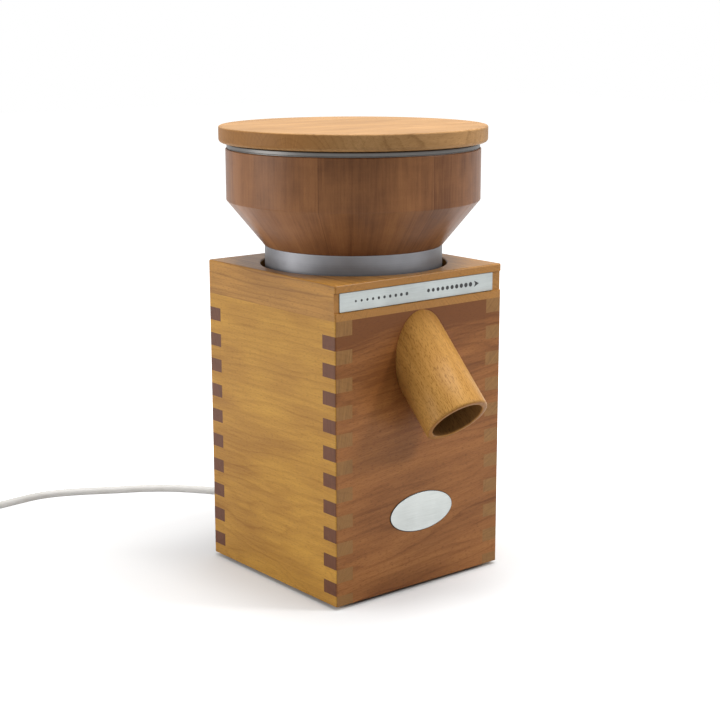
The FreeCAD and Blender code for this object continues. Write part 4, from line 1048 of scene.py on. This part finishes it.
@dataclass
class Lid:
    """The flat lid with its spigot.

    Attributes:
        lower_edge: Rounding of the lower edge, mm.
        upper_edge: Rounding of the upper edge.
    """

    lower_edge: float = 3.0
    upper_edge: float = 1.3

    def build(self) -> None:
        """Turns the lid from its axis outwards, and dresses the spigot and screws."""
        low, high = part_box("lid")
        base, top, radius = low.z / MM, high.z / MM, high.x / MM
        corners = np.array([[2.0, base], [60.0, base], [radius, base], [radius, top], [60.0, top],
                            [2.0, top]])
        profile = arc_corners(corners, [0, 0, self.lower_edge, self.upper_edge, 0, 0], False, 8)
        piece = revolve("turned_lid", profile, False, 320)
        settle(piece, LID_BOARD, "lid", "light_beech", "lid")
        dress(LID_BOARD, "lid_spigot")
        dress(ZINC_STEEL, "lid_screws")


@dataclass
class MillingWorks:
    """The chamber, the lower stone on its carrier, and the shaft with its small pieces."""

    def build(self) -> None:
        """Dresses each piece in what such mills use."""
        dress(CAST_ALUMINIUM, "milling_chamber")
        dress(ZINC_STEEL, "chamber_screws")
        dress(BLACK_RUBBER, "shaft_seal")
        dress(MILLSTONE, "lower_stone")
        dress(WHITE_NYLON, "stone_carrier")
        dress(SPRING_STEEL, "stone_spring", "retaining_ring", "fan_clip")
        dress(GROUND_STEEL, "motor_shaft", "drive_pin")


@dataclass
class Motor:
    """The open-frame motor under the chamber."""

    def build(self) -> None:
        """Dresses stack, winding, shields, bearings, bolts and fan."""
        dress(STACKED_SHEET, "stator_core", "rotor_core")
        dress(COPPER_COIL, "stator_winding")
        dress(CAST_ALUMINIUM, "upper_end_shield", "lower_end_shield")
        dress(BEARING_STEEL, "upper_bearing", "lower_bearing")
        dress(ZINC_STEEL, "motor_bolts")
        dress(BLACK_NYLON, "cooling_fan")
        dress(WHITE_NYLON, "thermal_cutout")


@dataclass
class Electrics:
    """The rear plate with its rocker switch, and the electrical pieces in the case.

    Attributes:
        pivot: The rocker's pivot, mm.
        face: Distance of the rocker's face from its pivot.
        tilt: Turn of the rocker at rest, in degrees, which is also the slope of each half face.
        mark_place: Distance of a mark from the middle of the rocker, along its face.
        mark_size: Half height of a mark.
        mark_width: Width of a mark's line.
        ink: Thickness of the ink as drawn.
    """

    pivot: Triple = (-24.0, 85.9, 31.0)
    face: float = 3.0
    tilt: float = 10.0
    mark_place: float = 6.0
    mark_size: float = 1.9
    mark_width: float = 0.5
    ink: float = 0.04

    def build(self) -> None:
        """Dresses the pieces and prints the two plain marks on the rocker."""
        dress(BLACK_NYLON, "rear_plate", "switch_housing")
        dress(ZINC_STEEL, "plate_screws", "capacitor_clip")
        dress(GLOSS_ROCKER, "switch_rocker")
        dress(CAPACITOR_CAN, "run_capacitor")
        dress(WHITE_NYLON, "terminal_block")
        dress(LEAD_SHEATH, "inner_wiring")
        self.marks()

    def marks(self) -> None:
        """A bar on one half of the rocker and a ring on the other, each flat on its half."""
        turn = np.linspace(0, 2 * np.pi, 40, endpoint=False)
        size, line = self.mark_size, self.mark_width
        bar = np.array([[-line / 2, -size], [line / 2, -size], [line / 2, size], [-line / 2, size]])
        outer = size * np.stack([0.8 * np.cos(turn), np.sin(turn)], axis=1)
        inner = outer * (1 - line / size)
        bar_rings = np.stack([np.column_stack([bar, np.full(len(bar), height)])
                              for height in (0, self.ink)])
        ring_rows = [(outer, 0), (outer, self.ink), (inner, self.ink), (inner, 0)]
        circle_rings = np.stack([np.column_stack([row, np.full(len(turn), height)])
                                 for row, height in ring_rows])
        for name, rings, closed, end in (("rocker_bar", bar_rings, False, 1),
                                         ("rocker_ring", circle_rings, True, -1)):
            points, faces, _ = loft(rings, closed)
            local = points + [0, end * self.mark_place, 0]
            raised = np.stack([-local[:, 0], self.face + local[:, 2], local[:, 1]], axis=1)
            half = Matrix.Rotation(math.radians(end * self.tilt), 3, "X")
            rest = Matrix.Rotation(math.radians(-self.tilt), 3, "X")
            ridge = np.array([0, self.face, 0])
            placed = (raised - ridge) @ np.array(half).T + ridge
            placed = placed @ np.array(rest).T + np.array(self.pivot)
            piece = mesh_piece(name, placed, faces, smooth=False)
            settle(piece, WHITE_INK, "switch_rocker", "rocker_plastic")


@dataclass
class PowerLead:
    """The mains lead: out of its sleeve, over the floor to the left, into a tied coil, to its plug.

    Attributes:
        radius: Radius of the cord, mm.
        leave: Where the cord leaves its sleeve.
        coil_middle: Middle of the coil on the floor.
        lower_level: Height of the coil's lower turns.
        upper_level: Height of its upper turns.
        points_per_turn: Route points in each turn.
        turns: Turns of the coil.
        enter: Angle at which the cord enters it, in degrees.
        outermost: Radius of its first turn.
        length: The lead's length in metres; not used.
    """

    radius: float = 3.5
    leave: Triple = (30.0, 118.0, 31.0)
    coil_middle: tuple[float, float] = (-258.0, 271.3)
    lower_level: float = 4.4
    upper_level: float = 11.2
    points_per_turn: int = 16
    turns: float = 4.25
    enter: float = 90.0
    outermost: float = 45.5
    length: float = 1.5

    def coil(self) -> np.ndarray:
        """The coil's turns as route points.

        The angle runs on at an even pace, anticlockwise. The radius steps in by the cord's width near
        the end of each lower turn. Near the end of the third turn the cord climbs into the groove
        between the others, and its last turn steps out again to leave on the left.

        Returns:
            Rows of x, y and z in millimetres.
        """
        count = int(self.points_per_turn * self.turns) + 1
        leave = self.enter + 360 * self.turns
        angle = np.linspace(self.enter, leave, count)
        widths_in = np.interp(angle, [self.enter, 385, 455, 745, 815, 1050, 1110, 1465, 1535, leave],
                              [0, 0, 1, 1, 2, 2, 1.5, 1.5, 0.5, 0.5])
        radius = self.outermost - 2 * self.radius * widths_in
        height = np.interp(angle, [self.enter, 1050, 1110, leave],
                           [self.lower_level, self.lower_level, self.upper_level, self.upper_level])
        outwards = 2 / (1 + math.cos(math.pi / self.points_per_turn))
        turn = np.radians(angle)
        return np.stack([self.coil_middle[0] + radius * outwards * np.cos(turn),
                         self.coil_middle[1] + radius * outwards * np.sin(turn), height], axis=1)

    def route(self) -> np.ndarray:
        """The whole route, from the sleeve to the plug, as rows of x, y and z in millimetres."""
        floor = self.radius
        out = [self.leave, (30, 134, 31), (29.5, 153, 22.5), (28, 172, 9.5), (25, 192, floor + 0.2),
               (19, 212, floor), (6, 232, floor), (-14, 256.5, floor), (-38, 276, floor),
               (-63, 288.5, floor), (-92, 306.5, floor), (-125, 320, floor), (-157, 317, floor),
               (-186, 314.5, floor), (-212, 315.8, 4.4), (-234, 316.8, 4.6)]
        tail = [(-300.6, 264, 12.2), (-300.4, 250, 14), (-297, 233.05, 18.5), (-297, 219.05, 18.5)]
        return np.concatenate([np.array(out), self.coil(), np.array(tail)])

    def build(self) -> None:
        """Lays the cord as one smooth curve and dresses the plug, tie and sleeve."""
        points = self.route() * MM
        curve = bpy.data.curves.new("power_lead", "CURVE")
        curve.dimensions = "3D"
        curve.bevel_depth = self.radius * MM
        curve.bevel_resolution = 6
        curve.resolution_u = 10
        curve.use_fill_caps = True
        spline = curve.splines.new("NURBS")
        spline.points.add(len(points) - 1)
        spline.points.foreach_set("co", np.column_stack([points, np.ones(len(points))]).ravel())
        spline.order_u = 3
        spline.use_endpoint_u = True
        piece = bpy.data.objects.new("power_lead", curve)
        bpy.context.scene.collection.objects.link(piece)
        settle(piece, GREY_SHEATH, "root", "cord_sheath", "power_cord", "cord_coil", "cord_tail")
        dress(GREY_PLUG, "plug_body", "strain_relief")
        dress(NICKEL_PINS, "plug_pins", "plug_earth_contacts")
        dress(BLACK_NYLON, "cord_tie")


@dataclass(frozen=True)
class Softbox:
    """A square soft lamp.

    Attributes:
        name: Its name.
        place: Where it stands, in metres.
        target: What it points at.
        side: Length of its side.
        watts: Its power.
    """

    name: str
    place: Triple
    target: Triple
    side: float
    watts: float

    def stand(self) -> None:
        """Puts the lamp in its place and turns it to its target."""
        data = bpy.data.lights.new(self.name, "AREA")
        data.size = self.side
        data.energy = self.watts
        lamp = bpy.data.objects.new(self.name, data)
        lamp.location = self.place
        way = Vector(self.target) - Vector(self.place)
        lamp.rotation_euler = way.to_track_quat("-Z", "Y").to_euler()
        bpy.context.scene.collection.objects.link(lamp)


@dataclass
class Studio:
    """White floor and surroundings, soft lamps and the camera.

    Attributes:
        focal_px: Focal length in pixels of the photograph's frame.
        frame_px: Side of that frame.
        heading: The camera's heading from +Y towards +X, in degrees.
        dip: Its dip below level.
        roll: Its roll.
        eye: Its place, mm.
        sensor_mm: Width of the sensor.
        clip: Nearest and farthest distance that the camera shows, in metres.
        ambient: Strength of the surroundings for soft light.
        floor_colour: Colour of the floor as it throws light back.
        floor_side: Half its width, mm.
        shade_zone_softness: How round the square zone of painted shade round the case is, in metres.
        glow_reach: Distance from the middle, in metres, where the floor shows plain white.
        glow_and_shade_stops: Shares of that distance, each with the glow that is added to the floor there for
            camera and gloss rays, so that it
        shows white far off; under the case and beside it the glow stays low, a square zone of painted shade
        on top of the lamps' shadow.
        lamps: The soft lamps.
    """

    focal_px: float = 1535.5
    frame_px: float = 720.0
    heading: float = 39.054
    dip: float = 12.503
    roll: float = -0.0835
    eye: Triple = (-773.75, -961.77, 446.09)
    sensor_mm: float = 36.0
    clip: tuple[float, float] = (0.05, 30.0)
    ambient: float = 0.12
    floor_colour: str = "#cfcfcf"
    floor_side: float = 6000.0
    shade_zone_softness: float = 0.03
    glow_reach: float = 0.34
    glow_and_shade_stops: tuple[tuple[float, float], ...] = ((0.23, 0.0), (0.27, 0.22), (0.5, 0.34), (1.0, 1.0))
    lamps: tuple[Softbox, ...] = (
        Softbox("left_softbox", (-1.35, 0.7, 0.5), (0.0, 0.0, 0.16), 0.9, 12.8),
        Softbox("right_softbox", (0.95, -1.05, 1.05), (0.0, 0.0, 0.16), 0.3, 12.3),
        Softbox("top_softbox", (0.1, -0.1, 1.6), (0.0, 0.0, 0.2), 1.0, 31.0))

    def build(self) -> None:
        """Makes the surroundings, floor, lamps and camera."""
        self.surroundings()
        self.floor()
        for lamp in self.lamps:
            lamp.stand()
        self.camera()

    def seen(self, tree: Tree) -> Socket:
        """Tells rays that the camera or a gloss sends out from those of soft light.

        Args:
            tree: The tree of a material or of the world.

        Returns:
            Socket that is 1 for such a ray and 0 for others.
        """
        path = add_node(tree, "LightPath").outputs
        return add_node(tree, "Math", {0: path["Is Camera Ray"], 1: path["Is Glossy Ray"]},
                        operation="MAXIMUM").outputs[0]

    def surroundings(self) -> None:
        """Even soft light, which the camera, gloss and glass see as plain white."""
        world = bpy.data.worlds.new("white studio")
        world.use_nodes = True
        tree = world.node_tree
        through = add_node(tree, "LightPath").outputs["Is Transmission Ray"]
        bare = add_node(tree, "Math", {0: self.seen(tree), 1: through}, operation="MAXIMUM")
        strength = add_node(tree, "MapRange", {0: bare, 3: self.ambient, 4: 1.0})
        background = tree.nodes["Background"]
        background.inputs["Color"].default_value = (1, 1, 1, 1)
        tree.links.new(strength.outputs[0], background.inputs["Strength"])
        bpy.context.scene.world = world

    def floor(self) -> None:
        """A wide floor that glows white far off, with a square zone of painted shade close by where the glow
        stays low.
        """
        side = self.floor_side
        corners = np.array([[-side, -side, 0], [side, -side, 0], [side, side, 0], [-side, side, 0.0]])
        floor = mesh_piece("studio_floor", corners, [[0, 1, 2, 3]])
        material = bpy.data.materials.new("white seamless paper")
        material.use_nodes = True
        tree = material.node_tree
        shader = tree.nodes["Principled BSDF"]
        shader.inputs["Base Color"].default_value = linear(self.floor_colour)
        shader.inputs["Roughness"].default_value = 0.9
        shader.inputs["Specular IOR Level"].default_value = 0.0
        place = add_node(tree, "TexCoord").outputs["Object"]
        sides = add_node(tree, "VectorMath", {0: place}, operation="ABSOLUTE")
        parts = add_node(tree, "SeparateXYZ", {0: sides}).outputs
        # The glow is low in a rounded square under and beside the case: painted shade there, on top of the
        # lamps' real shadow.
        square = add_node(tree, "Math", {0: parts[0], 1: parts[1], 2: self.shade_zone_softness},
                          operation="SMOOTH_MAX")
        share = add_node(tree, "MapRange", {0: square, 2: self.glow_reach})
        far = add_node(tree, "ValToRGB", {0: share}, stops=self.glow_and_shade_stops)
        far.color_ramp.interpolation = "EASE"
        glow = add_node(tree, "Math", {0: far, 1: self.seen(tree)}, operation="MULTIPLY")
        shader.inputs["Emission Color"].default_value = (1, 1, 1, 1)
        tree.links.new(glow.outputs[0], shader.inputs["Emission Strength"])
        floor.data.materials.append(material)

    def camera(self) -> None:
        """Sets the camera from its heading, dip and roll, with the photograph's focal length."""
        heading, dip, roll = (math.radians(angle) for angle in (self.heading, self.dip, self.roll))
        ahead = Vector((math.sin(heading) * math.cos(dip), math.cos(heading) * math.cos(dip),
                        -math.sin(dip)))
        right = Vector((math.cos(heading), -math.sin(heading), 0))
        up = right.cross(ahead)
        level_right = right * math.cos(roll) + up * math.sin(roll)
        level_up = up * math.cos(roll) - right * math.sin(roll)
        turn = Matrix((level_right, level_up, -ahead)).transposed().to_4x4()
        data = bpy.data.cameras.new("photo_camera")
        data.sensor_width = self.sensor_mm
        data.lens = self.focal_px * self.sensor_mm / self.frame_px
        data.clip_start, data.clip_end = self.clip
        camera = bpy.data.objects.new("photo_camera", data)
        camera.matrix_world = Matrix.Translation(Vector(self.eye) * MM) @ turn
        bpy.context.scene.collection.objects.link(camera)
        bpy.context.scene.camera = camera


def main() -> None:
    """Builds the mill's sub-assemblies and the studio in order."""
    logging.basicConfig(level=logging.INFO, format="%(name)s: %(message)s")
    bpy.context.scene.view_settings.view_transform = "Standard"
    for part in (PowerLead(), Case(), FrontPlates(), Spout(), Hopper(), Lid(), MillingWorks(), Motor(),
                 Electrics(), Studio()):
        log.info("building %s", type(part).__name__)
        part.build()


if __name__ == "__main__":
    main()
